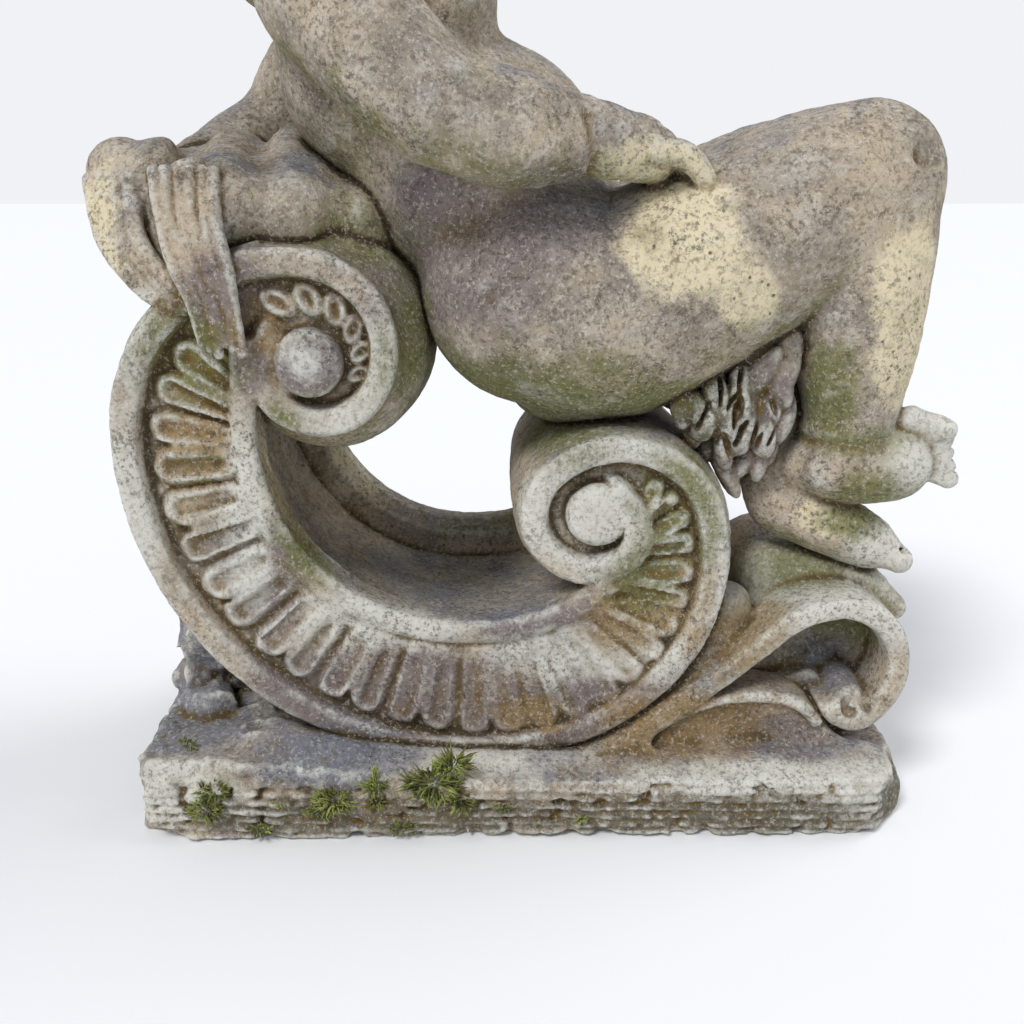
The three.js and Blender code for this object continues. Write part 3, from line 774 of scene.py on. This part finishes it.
def lower_cloth_block(cell):
    """Crumpled folds that fall beside the calf, from under the thigh."""
    block = Block((84, -160, 306), (304, 20, 532), cell)
    block.add(limb((150, -52, 440, 36), (200, -60, 410, 36), (222, -62, 360, 22)), 10)
    block.add(limb((236, -56, 480, 34), (236, -62, 410, 26), (230, -66, 352, 16)), 12)
    chance = np.random.default_rng(11)
    strands = [
        ((126, 440), (176, 384), 3), ((150, 452), (196, 356), 4), ((176, 460), (206, 338), 5),
        ((202, 472), (216, 332), 5), ((226, 482), (230, 338), 5), ((248, 486), (244, 360), 5),
    ]
    for (top_x, top_z), (foot_x, foot_z), count in strands:
        for step in range(count):
            share = (step + chance.uniform(0.1, 0.7)) / count
            x = top_x + (foot_x - top_x) * share + chance.uniform(-6, 6)
            z = top_z + (foot_z - top_z) * share
            y = -92 - 22 * math.sin(math.pi * min(share + 0.12, 1)) + chance.uniform(-4, 7)
            wide = chance.uniform(11, 16) * (1.1 - 0.3 * share)
            long = chance.uniform(19, 34)
            block.add(ball((x, y, z), (wide, 15, long), lean=chance.uniform(-40, 30),
                           turn=chance.uniform(-25, 25)), 2)
    for step in range(16):
        share = chance.uniform(0.05, 0.9)
        x = 140 + 100 * chance.uniform(0, 1) * (1 - 0.4 * share) + 40 * share
        z = 462 - 110 * share
        block.cut(ball((x, -126, z), (3, 14, chance.uniform(12, 24)), lean=chance.uniform(-34, 24)), 2)
    return block


# ---- meshes ----

def mesh_object(name, points, faces):
    """A mesh object from arrays of points, in metres, and of faces of one size."""
    mesh = bpy.data.meshes.new(name)
    sides = faces.shape[1]
    mesh.vertices.add(len(points))
    mesh.vertices.foreach_set("co", np.asarray(points, np.float32).ravel())
    mesh.loops.add(faces.size)
    mesh.loops.foreach_set("vertex_index", faces.astype(np.int32).ravel())
    mesh.polygons.add(len(faces))
    mesh.polygons.foreach_set("loop_start", np.arange(0, faces.size, sides, dtype=np.int32))
    mesh.update(calc_edges=True)
    piece = bpy.data.objects.new(name, mesh)
    bpy.context.scene.collection.objects.link(piece)
    return piece


def bake_modifiers(piece):
    """Replaces a piece's mesh by what its modifiers make of it."""
    view = bpy.context.evaluated_depsgraph_get()
    finished = bpy.data.meshes.new_from_object(piece.evaluated_get(view))
    piece.modifiers.clear()
    old = piece.data
    piece.data = finished
    bpy.data.meshes.remove(old)


def roughen(piece, name, size, depth, detail):
    """Adds worn unevenness: cloud noise of a given size and depth, in millimetres."""
    clouds = bpy.data.textures.new(name, "CLOUDS")
    clouds.noise_scale = size * MM
    clouds.noise_depth = detail
    wear = piece.modifiers.new(name, "DISPLACE")
    wear.texture = clouds
    wear.texture_coords = "LOCAL"
    wear.strength = depth * MM
    wear.mid_level = 0.5


SAG = ("sag", 42, 2.6, 1)  # broad unevenness and fine pits: size, depth and detail of each
PITS = ("pits", 7, 1.1, 2)


def carve(name, block, place=None):
    """Turns a block into a mesh piece of limestone within the budget of triangles."""
    budget = bpy.context.scene.putto_stone.budget
    grid = openvdb.FloatGrid(FAR)
    grid.copyFromArray(np.ascontiguousarray(block.value, np.float32))
    points, _, quads = grid.convertToPolygons(0.0, 0.0)
    points = block.low + points * block.cell
    if place is not None:
        points = place(points)
    corners = points[quads[:, :3].astype(int)]
    volume = np.einsum("ij,ij->", corners[:, 0], np.cross(corners[:, 1], corners[:, 2]))
    piece = mesh_object(name, points * MM, quads if volume > 0 else quads[:, ::-1])
    for kind, size, depth, detail in (SAG, PITS):
        roughen(piece, f"{name} {kind}", size, depth, detail)
    if 2 * len(quads) > budget:
        thin = piece.modifiers.new("thin", "DECIMATE")
        thin.ratio = budget / (2 * len(quads))
    bake_modifiers(piece)
    piece.data.shade_smooth()
    BLOCKS[name] = (block, place)
    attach(piece, "root")
    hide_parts(NODE)
    piece.data.materials.append(stone_material())


# ---- weathering, with painted shade and painted sunlight ----

def box_blur(values, cells):
    """The mean over a cube of cells, by running sums along each axis."""
    for axis in range(3):
        edges = [(cells + 1, cells) if k == axis else (0, 0) for k in range(3)]
        padded = np.pad(values, edges, mode="edge")
        total = np.cumsum(padded, axis=axis, dtype=np.float32)
        width = 2 * cells + 1
        upper = np.take(total, range(width, total.shape[axis]), axis=axis)
        lower = np.take(total, range(total.shape[axis] - width), axis=axis)
        values = (upper - lower) / width
    return values


def sample(values, block, points):
    """Values of a grid at points, in millimetres, blended between cells; 0 outside the grid."""
    place = (points - block.low) / block.cell
    inside = np.all((place >= 0) & (place <= block.shape - 2), axis=1)
    place = np.clip(place, 0, block.shape - 2.001)
    corner = place.astype(int)
    share = place - corner
    result = np.zeros(len(points), np.float32)
    for i in range(8):
        step = np.array([i & 1, i >> 1 & 1, i >> 2])
        weight = np.prod(np.where(step, share, 1 - share), axis=1)
        cell = corner + step
        result += weight * values[cell[:, 0], cell[:, 1], cell[:, 2]]
    return result * inside


def stone_round(points, reach):
    """The share of stone within a reach of each point, over every block: above a half in a recess."""
    share = np.zeros(len(points), np.float32)
    for block, place in BLOCKS.values():
        stone = np.clip(0.5 - block.value / block.cell, 0, 1).astype(np.float32)
        stone = box_blur(stone, max(1, round(reach / block.cell)))
        own = points if place is None else head_place(points, back=True)
        share += sample(stone, block, own)
    return np.clip(share, 0, 1)


def near(points, centre, reach):
    """1 at a centre, falling to 0 at its reach, which may differ by axis."""
    away = np.linalg.norm((points - np.array(centre)) / np.array(reach), axis=1)
    return smooth_step(away, 1.25, 0.25)


FINE_REACH = 6  # how far round a spot its recess and its shade are judged
BROAD_REACH = 26
STAINS_AND_PAINTED_LIGHT = [  # colour, then the middle and the reach of each place it shows, in millimetres: stains, and the painted sunlight in the warm pale list
    ("mauve", [
        ((-60, -140, 560), (130, 90, 110)), ((40, -180, 600), (110, 80, 60)),
        ((-20, -60, 470), (60, 120, 50)), ((-262, -150, 510), (60, 70, 100)),
        ((-120, -150, 130), (210, 60, 70)), ((30, -150, 112), (150, 60, 50)),
        ((-192, -160, 462), (44, 50, 44)), ((20, -160, 205), (110, 40, 34)),
        ((215, -110, 400), (80, 70, 90)), ((250, -150, 86), (80, 60, 30)),
        ((-250, -160, 240), (60, 60, 90)),
    ]),
    ("algae", [
        ((20, -40, 440), (210, 190, 66)), ((330, -110, 330), (50, 50, 34)),
        ((100, -100, 430), (120, 90, 40)), ((322, -90, 384), (64, 70, 26)),
        ((290, -120, 430), (34, 60, 70)), ((150, -150, 320), (52, 70, 80)),
        ((120, -150, 250), (50, 60, 50)), ((-170, -60, 560), (80, 90, 60)),
        ((-110, -20, 470), (40, 190, 90)), ((52, -60, 380), (70, 110, 40)),
        ((-300, -150, 470), (60, 50, 60)), ((300, -60, 230), (90, 70, 40)), ((340, -90, 190), (60, 40, 50)),
        ((-30, 20, 240), (120, 120, 40)), ((-5, -20, 400), (40, 120, 60)),
        ((-225, -150, 380), (26, 60, 60)), ((-200, -150, 300), (40, 60, 70)),
        ((340, -110, 300), (60, 50, 26)),
    ]),
    ("ochre", [
        ((-300, -130, 470), (60, 60, 50)), ((-310, -150, 390), (50, 50, 90)),
        ((-215, -80, 330), (60, 90, 80)), ((160, -150, 96), (130, 60, 46)),
        ((250, -150, 160), (80, 50, 40)), ((105, -150, 205), (70, 60, 50)),
        ((230, -130, 190), (60, 60, 50)), ((-232, -150, 500), (34, 60, 40)),
        ((10, -140, 105), (60, 60, 26)), ((170, -120, 230), (30, 60, 90)),
    ]),
    ("slate", [
        ((-330, -110, 90), (110, 110, 50)), ((-320, 0, 140), (100, 140, 90)),
        ((-170, -180, 80), (130, 50, 36)), ((-60, 0, 218), (120, 110, 34)),
        ((300, 60, 150), (130, 140, 90)), ((0, 0, 60), (400, 190, 20)), ((320, -100, 140), (50, 60, 50)),
    ]),
    ("chalk", [
        ((-262, -150, 300), (30, 50, 150)), ((300, -100, 225), (150, 80, 44)),
        ((-365, -150, 320), (40, 50, 120)), ((-196, -170, 464), (30, 30, 30)),
        ((-330, -150, 470), (40, 50, 90)), ((72, -150, 315), (80, 30, 80)),
        ((-150, -165, 400), (80, 30, 50)), ((60, -150, 170), (130, 30, 40)),
        ((-60, -150, 60), (160, 60, 26)), ((-150, -160, 206), (120, 50, 50)),
        ((190, -160, 290), (60, 50, 130)), ((-110, -165, 440), (70, 50, 90)),
        ((300, -130, 210), (130, 70, 70)), ((420, -110, 350), (60, 90, 60)),
        ((240, -190, 58), (180, 40, 20)), ((400, -100, 370), (90, 90, 80)), ((370, -90, 270), (60, 80, 50)),
        ((10, -165, 330), (60, 40, 80)), ((-330, -195, 50), (80, 30, 50)), ((120, -165, 380), (80, 40, 40)),
        ((330, -190, 40), (60, 40, 40)),
    ]),
    ("dirt", [
        ((-230, -206, 26), (120, 40, 30)), ((-70, -206, 24), (130, 40, 32)),
        ((90, -206, 24), (130, 40, 32)), ((250, -206, 22), (130, 40, 34)), ((370, -150, 24), (60, 90, 34)),
        ((-385, 0, 20), (30, 200, 40)), ((0, 200, 24), (400, 20, 36)), ((290, -110, 150), (40, 40, 30)),
        ((-60, 0, 214), (90, 120, 26)), ((190, -110, 410), (60, 40, 50)),
    ]),
    ("cream", [
        # painted sunlight: a patch of light across the near thigh
        ((130, -170, 570), (80, 70, 62)), ((120, -170, 620), (84, 70, 56)),
        # painted light where light falls into the upper left of the trough, over its pinkish-beige stone
        ((-225, -60, 340), (60, 120, 80)), ((-190, 60, 300), (60, 100, 60)),
        # the second place here is more painted sunlight on the thigh; the first is clean warm stone
        ((340, -130, 500), (50, 80, 110)), ((200, -170, 520), (40, 60, 40)),
        ((-370, -90, 560), (44, 90, 90)), ((300, -120, 300), (50, 60, 30)),
    ]),
]


def weather(piece):
    """Writes on each corner how deep it lies, and how strongly each kind of stain, of painted shade and of
    painted sunlight shows there.
    """
    mesh = piece.data
    points = np.empty(len(mesh.vertices) * 3, np.float32)
    mesh.vertices.foreach_get("co", points)
    points = points.reshape(-1, 3) / MM
    normals = np.empty(len(mesh.vertices) * 3, np.float32)
    mesh.vertices.foreach_get("normal", normals)
    up = normals.reshape(-1, 3)[:, 2]
    fine = stone_round(points, FINE_REACH)
    broad = stone_round(points, BROAD_REACH)
    layers = {
        "recess": smooth_step(fine, 0.51, 0.66),
        "ridge": smooth_step(fine, 0.47, 0.32),
        # shade: how far a spot lies in a broad hollow; the colours paint shade by it
        "shade": smooth_step(broad, 0.48, 0.78),
    }
    for name, places in STAINS_AND_PAINTED_LIGHT:
        layers[name] = np.zeros(len(points))
        for centre, reach in places:
            layers[name] = np.maximum(layers[name], near(points, centre, reach))
    # painted shade, partly green growth: surfaces that face down, above the plinth, darken to green
    shade_and_algae_underneath = 0.55 * smooth_step(up, -0.1, -0.8) * smooth_step(points[:, 2], 120, 300)
    layers["algae"] = np.maximum(layers["algae"], shade_and_algae_underneath)
    layers["slate"] = np.maximum(layers["slate"], 0.5 * smooth_step(up, 0.5, 0.95))
    for name, values in layers.items():
        layer = mesh.attributes.new(name, "FLOAT", "POINT")
        layer.data.foreach_set("value", np.asarray(values, np.float32))


def head_place(points, back=False):
    """Moves points from the head's own frame to its place on the neck, or back."""
    place = turned(-HEAD["nod"], HEAD["turn"])
    at = np.array(HEAD["at"])
    if back:
        return ((points - at) @ place) / HEAD["size"]
    return (points * HEAD["size"]) @ place.T + at


# ---- materials ----

def colour(code):
    """A colour given as an sRGB hex value, in linear light."""
    parts = [int(code[i : i + 2], 16) / 255 for i in (1, 3, 5)]
    return [c / 12.92 if c <= 0.04045 else ((c + 0.055) / 1.055) ** 2.4 for c in parts] + [1.0]


def node(tree, kind, settings=(), inputs=()):
    """Adds a node with its settings and with its inputs as values or links."""
    made = tree.nodes.new(kind)
    for name, value in dict(settings).items():
        setattr(made, name, value)
    for name, value in dict(inputs).items():
        socket = made.inputs[name]
        if isinstance(value, bpy.types.NodeSocket):
            tree.links.new(value, socket)
        else:
            socket.default_value = value
    return made


def matt(name, code, rough):
    """A plain matt material."""
    material = bpy.data.materials.new(name)
    material.use_nodes = True
    shader = material.node_tree.nodes["Principled BSDF"]
    shader.inputs["Base Color"].default_value = colour(code)
    shader.inputs["Roughness"].default_value = rough
    return material


def weathered_limestone(settings):
    """Hand-carved limestone left outdoors: matt, buff to mauve grey, with lichen, green growth, dirt and
    painted shade.

    Its grain is 1 to 3 mm, its pits and lichen spots 2 to 6 mm. Ochre iron stains lie in the
    recesses, painted shade in the deeper recesses and the pits, pale crust on the edges, green growth
    in damp places and, with painted shade, on the undersides, and a painted patch of sunlight.
    """
    material = matt("weathered limestone", settings.buff, 0.93)
    tree = material.node_tree
    shader = tree.nodes["Principled BSDF"]
    shader.inputs["Specular IOR Level"].default_value = 0.2
    place = node(tree, "ShaderNodeTexCoord").outputs["Object"]

    def noise(size, detail=4, rough=0.6, warp=0.0):
        """Cloudy noise whose patches have a size in millimetres."""
        return node(tree, "ShaderNodeTexNoise", {}, {
            "Vector": place, "Scale": 500 / size, "Detail": detail, "Roughness": rough, "Distortion": warp,
        }).outputs["Fac"]

    def ramp(value, low, high):
        """0 below low and 1 above high."""
        return node(tree, "ShaderNodeMapRange", {"clamp": True}, {
            "Value": value, "From Min": low, "From Max": high,
        }).outputs["Result"]

    def clouds(size, detail, rough, low, high, warp=0.0):
        """Patches of noise, sharper at the edge the closer low and high are."""
        return ramp(noise(size, detail, rough, warp), low, high)

    def mask(name):
        """A mask that the weathering wrote on the mesh."""
        return node(tree, "ShaderNodeAttribute", {"attribute_name": name}).outputs["Fac"]

    def both(first, *others):
        """Masks and numbers multiplied."""
        for other in others:
            first = node(tree, "ShaderNodeMath", {"operation": "MULTIPLY"}, {0: first, 1: other}).outputs[0]
        return first

    def ragged(name, size, low, high):
        """A mask whose edge is broken up by noise."""
        broken = node(tree, "ShaderNodeMath", {"operation": "ADD"}, {
            0: mask(name), 1: clouds(size, 8, 0.78, 0.28, 0.72),
        }).outputs[0]
        return ramp(broken, low, high)

    clusters = clouds(46, 5, 0.7, 0.34, 0.62)
    holes = node(tree, "ShaderNodeTexVoronoi", {"feature": "F1"}, {
        "Vector": place, "Scale": 170, "Randomness": 1.0,
    })
    chosen = node(tree, "ShaderNodeSeparateColor", {}, {"Color": holes.outputs["Color"]}).outputs["Red"]
    # pits show most in clean warm stone and in the painted sunlit patch
    clean_and_sunlit_stone = node(tree, "ShaderNodeMath", {"operation": "MULTIPLY_ADD"}, {
        0: mask("cream"), 1: 0.8, 2: 0.2,
    }).outputs[0]
    pits = both(ramp(holes.outputs["Distance"], 0.32, 0.14), ramp(chosen, 0.72, 0.98), clean_and_sunlit_stone)
    coats = [  # colour, where it lies and its strength: patches, stains, painted shade, painted sunlight, crusts, lichen, grains, pits
        ("grey", clouds(60, 6, 0.68, 0.40, 0.62, 0.5), 1),
        ("pale", clouds(21, 6, 0.75, 0.50, 0.66), 0.45),
        ("pale", clouds(11, 8, 0.85, 0.52, 0.60), 0.55),
        ("grime", clouds(14, 8, 0.85, 0.53, 0.62), 0.55),
        # painted shade: the stone darkens where broad hollows shelter it from light
        ("grime", mask("shade"), 0.24),
        ("mauve", ragged("mauve", 30, 0.72, 1.30), 0.75),
        ("slate", ragged("slate", 26, 0.72, 1.30), 0.78),
        # painted sunlight on the thigh and painted light in the trough, with clean warm stone elsewhere
        ("cream", ragged("cream", 34, 0.90, 1.22), 0.85),
        ("chalk", ragged("chalk", 20, 0.76, 1.34), 0.78),
        ("ochre", ragged("ochre", 24, 0.74, 1.34), 0.70),
        ("dirt", ragged("dirt", 16, 0.72, 1.20), 0.82),
        # green growth in places, and painted shade on the undersides
        ("algae", ragged("algae", 20, 0.64, 1.28), 0.80),
        ("rust", both(mask("recess"), clouds(20, 5, 0.7, 0.30, 0.52)), 0.9),
        # painted shade: darkest deep in recesses inside broad hollows
        ("soot", both(mask("recess"), mask("recess"), mask("shade")), 0.85),
        ("chalk", both(mask("ridge"), clouds(8, 5, 0.75, 0.34, 0.56)), 0.8),
        ("lichen", both(clouds(2.6, 4, 0.8, 0.50, 0.60), ramp(clusters, -0.5, 0.9)), 0.72),
        ("lichen", both(clouds(7, 8, 0.9, 0.55, 0.63), clusters), 0.75),
        ("grain", clouds(2.1, 4, 0.8, 0.54, 0.64), 0.46),
        # the same dark colour also darkens the pits
        ("soot", pits, 0.85),
    ]
    surface = colour(settings.buff)
    for tint, amount, strength in coats:
        surface = node(tree, "ShaderNodeMix", {"data_type": "RGBA"}, {
            "Factor": both(amount, strength), 6: surface, 7: colour(getattr(settings, tint)),
        }).outputs[2]
    tree.links.new(surface, shader.inputs["Base Color"])
    grit = node(tree, "ShaderNodeBump", {}, {
        "Strength": 0.9, "Distance": 0.0016, "Height": noise(2.4, 6, 0.8),
    })
    hollows = node(tree, "ShaderNodeBump", {"invert": True}, {
        "Strength": 0.9, "Distance": 0.002, "Height": pits, "Normal": grit.outputs["Normal"],
    })
    worn = node(tree, "ShaderNodeBump", {}, {
        "Strength": 0.8, "Distance": 0.004, "Height": noise(10, 5, 0.75), "Normal": hollows.outputs["Normal"],
    })
    tree.links.new(worn.outputs["Normal"], shader.inputs["Normal"])
    return material


def moss_growth(settings):
    """Living moss: soft shoots, yellow green at the tips and brown where they are dry."""
    material = matt("moss", settings.moss, 0.85)
    tree = material.node_tree
    place = node(tree, "ShaderNodeTexCoord").outputs["Object"]
    patch = node(tree, "ShaderNodeTexNoise", {}, {"Vector": place, "Scale": 55.0, "Detail": 5.0})
    tones = node(tree, "ShaderNodeValToRGB", {}, {"Fac": patch.outputs["Fac"]})
    for spot, tone in ((0.36, settings.dry_moss), (0.50, settings.moss), (0.64, settings.moss_tips)):
        stop = tones.color_ramp.elements.new(spot)
        stop.color = colour(tone)
    tones.color_ramp.elements.remove(tones.color_ramp.elements[0])
    tones.color_ramp.elements.remove(tones.color_ramp.elements[-1])
    tree.links.new(tones.outputs["Color"], tree.nodes["Principled BSDF"].inputs["Base Color"])
    return material


def stone_material():
    """The one limestone that every carved piece shares."""
    name = "weathered limestone"
    return bpy.data.materials.get(name) or weathered_limestone(bpy.context.scene.putto_stone)


# ---- moss ----

TUFTS = [  # place on the plinth's front, spread, height and shoots, in millimetres
    ((-308, -202, 36), 15, 15, 90), ((-298, -200, 56), 11, 24, 70), ((-184, -202, 44), 16, 20, 100),
    ((-200, -203, 34), 11, 12, 50), ((-142, -200, 60), 7, 26, 50), ((-142, -203, 44), 7, 14, 36),
    ((-86, -200, 62), 25, 24, 190), ((-68, -198, 80), 10, 30, 70), ((-62, -202, 44), 11, 20, 60),
    ((-258, -203, 14), 9, 12, 40), ((-330, -170, 90), 7, 11, 26), ((-118, -203, 14), 13, 9, 36),
    ((55, -203, 22), 7, 7, 16), ((-20, -203, 36), 9, 8, 20), ((-234, -203, 44), 12, 7, 18),
]


def moss_mesh(seed):
    """Tufts of thin bent shoots, each a tapering three-sided stem with a bushy top."""
    chance = np.random.default_rng(seed)
    points, faces = [], []
    for (x, y, z), spread, height, shoots in TUFTS:
        for _ in range(shoots):
            angle = chance.uniform(0, 2 * math.pi)
            away = spread * math.sqrt(chance.uniform(0, 1))
            root = np.array([x + away * math.cos(angle), y, z + 0.6 * away * math.sin(angle)])
            lean = np.array([0.6 * math.cos(angle), -0.45, 0.42 + 0.5 * math.sin(angle)])
            lean = lean + chance.normal(0, 0.28, 3)
            lean /= np.linalg.norm(lean)
            long = height * chance.uniform(0.45, 1.0) * (1 - 0.4 * away / spread)
            thick = chance.uniform(0.55, 1.05)
            across = np.cross(lean, chance.normal(0, 1, 3))
            across /= np.linalg.norm(across)
            other = np.cross(lean, across)
            droop = chance.normal(0, 0.25, 3)
            first = len(points)
            for step, width in enumerate((0.8, 1.3, 1.7, 1.1, 0.15)):
                share = step / 4
                middle = root + long * (share * lean + share * share * droop)
                for side in range(3):
                    turn = 2 * math.pi * side / 3 + 0.5 * step
                    points.append(middle + width * thick * (math.cos(turn) * across + math.sin(turn) * other))
            for step in range(4):
                for side in range(3):
                    a = first + 3 * step + side
                    b = first + 3 * step + (side + 1) % 3
                    faces += [(a, b, b + 3), (a, b + 3, a + 3)]
            faces.append((first, first + 2, first + 1))
            faces.append((first + 12, first + 13, first + 14))
    return np.array(points) * MM, np.array(faces)


# ---- what a user may change ----

TINTS = [  # colours of the stone, the moss and the floor, as sRGB hex values
    ("buff", "#c6b59c", "Main colour of the stone"),
    ("grey", "#8f867c", "Weathered grey of the stone"),
    ("pale", "#d8d0c2", "Washed patches"),
    ("mauve", "#776b6e", "Mauve grey crust"),
    # besides random dirt, this colour paints shade into broad hollows
    ("grime", "#7d7362", "Dull dirt in sheltered places"),
    ("ochre", "#9a7c46", "Iron stain in broad patches"),
    ("rust", "#79602f", "Brown stain in recesses"),
    # this colour paints shade deep in recesses, and darkens the pits
    ("soot", "#3e3626", "Dark dirt in deep grooves"),
    # this colour also paints shade on the undersides
    ("algae", "#6c6f30", "Green growth where water drips"),
    ("dirt", "#5b5647", "Dark olive dirt by the ground"),
    ("slate", "#757b8a", "Blue-grey growth on flat tops"),
    ("chalk", "#e3e2d8", "Pale crust on edges"),
    ("cream", "#f0e2bd", "Clean, warm stone"),
    # painted sunlight on the thigh and painted light in the trough, with clean warm stone elsewhere
    ("lichen", "#4b443d", "Small dark spots"),
    ("grain", "#e6dfd2", "Small pale grains"),
    ("moss", "#7f8844", "Tufts on the plinth"),
    ("moss_tips", "#a9b062", "Fresh shoots"),
    ("dry_moss", "#6a5f36", "Dry brown shoots"),
    ("floor", "#f4f5f7", "Colour of the floor"),
]


class PuttoStone(bpy.types.PropertyGroup):
    """Grain and colours of the carving."""

    cell: bpy.props.FloatProperty(
        name="Cell", description="Width of the carving's grid cell, in millimetres", default=2.2, min=1.5,
    )
    budget: bpy.props.IntProperty(
        name="Triangles", description="Most triangles in one carved piece", default=164000, min=10000,
    )
    tuft_seed: bpy.props.IntProperty(name="Moss seed", description="Random seed of the moss", default=7)


for tint, code, use in TINTS:
    PuttoStone.__annotations__[tint] = bpy.props.StringProperty(
        name=tint.replace("_", " ").capitalize(), description=use, default=code,
    )


# ---- operators ----

def cell_size(factor=1.0):
    return bpy.context.scene.putto_stone.cell * factor * 1


class PUTTO_OT_scroll(bpy.types.Operator):
    """Carves the C-scroll with its volutes, fillets and tongues"""

    bl_idname = "putto.scroll"
    bl_label = "Carve scroll"

    def execute(self, context):
        carve("carved_scroll", scroll_block(cell_size()))
        return {"FINISHED"}


class PUTTO_OT_base(bpy.types.Operator):
    """Carves the plinth, the rough rock and the leaf scroll"""

    bl_idname = "putto.base"
    bl_label = "Carve plinth and leaf"

    def execute(self, context):
        carve("plinth_and_leaf", base_block(cell_size()))
        return {"FINISHED"}


class PUTTO_OT_figure(bpy.types.Operator):
    """Carves the putto's body and limbs"""

    bl_idname = "putto.figure"
    bl_label = "Carve body"

    def execute(self, context):
        carve("putto_body", figure_block(cell_size()))
        return {"FINISHED"}


class PUTTO_OT_head(bpy.types.Operator):
    """Carves the head with its face and locks"""

    bl_idname = "putto.head"
    bl_label = "Carve head"

    def execute(self, context):
        carve("putto_head", head_block(cell_size(0.65)), head_place)
        return {"FINISHED"}


class PUTTO_OT_drapery(bpy.types.Operator):
    """Carves the cloth over the upper volute and the folds by the calf"""

    bl_idname = "putto.drapery"
    bl_label = "Carve drapery"

    def execute(self, context):
        carve("drapery_over_volute", upper_cloth_block(cell_size(0.8)))
        carve("drapery_by_calf", lower_cloth_block(cell_size(0.7)))
        return {"FINISHED"}


class PUTTO_OT_weather(bpy.types.Operator):
    """Works out where dirt, green growth, crust, painted shade and painted sunlight sit on every carved piece
    """

    bl_idname = "putto.weather"
    bl_label = "Weather the stone"

    def execute(self, context):
        for name in BLOCKS:
            weather(bpy.data.objects[name])
        return {"FINISHED"}


class PUTTO_OT_moss(bpy.types.Operator):
    """Grows tufts of moss on the plinth's front"""

    bl_idname = "putto.moss"
    bl_label = "Grow moss"

    def execute(self, context):
        settings = context.scene.putto_stone
        piece = mesh_object("moss_tufts", *moss_mesh(settings.tuft_seed))
        piece.data.materials.append(moss_growth(settings))
        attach(piece, "root")
        return {"FINISHED"}


FLOOR = 30  # half the floor's width, in metres, as are the places of lamps and camera
SKY = ("#eef2fa", 0.52)  # colour and strength of the light from all round
BACKDROP = "#f1f2f6"
LAMPS = (  # name, place, strength and spread in degrees
    ("key_light", (-1.1, -1.5, 2.2), 1.75, 16),
    ("rim_light", (1.7, 0.5, 1.8), 0.95, 40),
)
CAMERA = {"at": (-0.0232, -1.0907, 0.6180), "pitch": 17.5, "turn": -0.78, "lens": 36.91, "film": 36}


class PUTTO_OT_stage(bpy.types.Operator):
    """Sets the pale floor, the soft light and the camera"""

    bl_idname = "putto.stage"
    bl_label = "Set the stage"

    def execute(self, context):
        corners = np.array([(-1, -1, 0), (1, -1, 0), (1, 1, 0), (-1, 1, 0)]) * FLOOR
        floor = mesh_object("floor", corners, np.array([[0, 1, 2, 3]]))
        floor.data.materials.append(matt("pale floor", context.scene.putto_stone.floor, 0.9))
        context.scene.view_settings.view_transform = "Standard"
        world = bpy.data.worlds.new("soft_sky")
        context.scene.world = world
        world.use_nodes = True
        tree = world.node_tree
        sky = tree.nodes["Background"]
        sky.inputs["Color"].default_value = colour(SKY[0])
        sky.inputs["Strength"].default_value = SKY[1]
        backdrop = node(tree, "ShaderNodeBackground", {}, {"Color": colour(BACKDROP), "Strength": 1.0})
        seen = node(tree, "ShaderNodeLightPath").outputs["Is Camera Ray"]
        shown = node(tree, "ShaderNodeMixShader", {}, {
            0: seen, 1: sky.outputs["Background"], 2: backdrop.outputs["Background"],
        })
        tree.links.new(shown.outputs["Shader"], tree.nodes["World Output"].inputs["Surface"])
        for name, place, strength, spread in LAMPS:
            lamp = bpy.data.lights.new(name, "SUN")
            lamp.angle = math.radians(spread)
            lamp.energy = strength
            light = bpy.data.objects.new(name, lamp)
            light.location = place
            light.rotation_euler = (-light.location).to_track_quat("-Z", "Y").to_euler()
            context.scene.collection.objects.link(light)
        lens = bpy.data.cameras.new("camera")
        lens.sensor_width = CAMERA["film"]
        lens.lens = CAMERA["lens"]
        camera = bpy.data.objects.new("camera", lens)
        camera.location = CAMERA["at"]
        camera.rotation_euler = (math.radians(90 - CAMERA["pitch"]), 0, math.radians(CAMERA["turn"]))
        context.scene.collection.objects.link(camera)
        context.scene.camera = camera
        return {"FINISHED"}


class PUTTO_PT_panel(bpy.types.Panel):
    """Lists the steps that build the putto"""

    bl_label = "Limestone putto"
    bl_space_type = "VIEW_3D"
    bl_region_type = "UI"
    bl_category = "Putto"

    def draw(self, context):
        settings = context.scene.putto_stone
        for name in settings.__annotations__:
            self.layout.prop(settings, name)
        for operator in OPERATORS:
            self.layout.operator(operator.bl_idname)


OPERATORS = (
    PUTTO_OT_scroll, PUTTO_OT_base, PUTTO_OT_figure, PUTTO_OT_head, PUTTO_OT_drapery, PUTTO_OT_weather,
    PUTTO_OT_moss, PUTTO_OT_stage,
)


def register():
    for kind in (PuttoStone, *OPERATORS, PUTTO_PT_panel):
        bpy.utils.register_class(kind)
    bpy.types.Scene.putto_stone = bpy.props.PointerProperty(type=PuttoStone)


def unregister():
    del bpy.types.Scene.putto_stone
    for kind in (PUTTO_PT_panel, *reversed(OPERATORS), PuttoStone):
        bpy.utils.unregister_class(kind)


def main():
    """Builds the statue."""
    register()
    bpy.ops.putto.scroll()
    bpy.ops.putto.base()
    bpy.ops.putto.figure()
    bpy.ops.putto.head()
    bpy.ops.putto.drapery()
    bpy.ops.putto.weather()
    bpy.ops.putto.moss()
    bpy.ops.putto.stage()


if __name__ == "__main__":
    main()
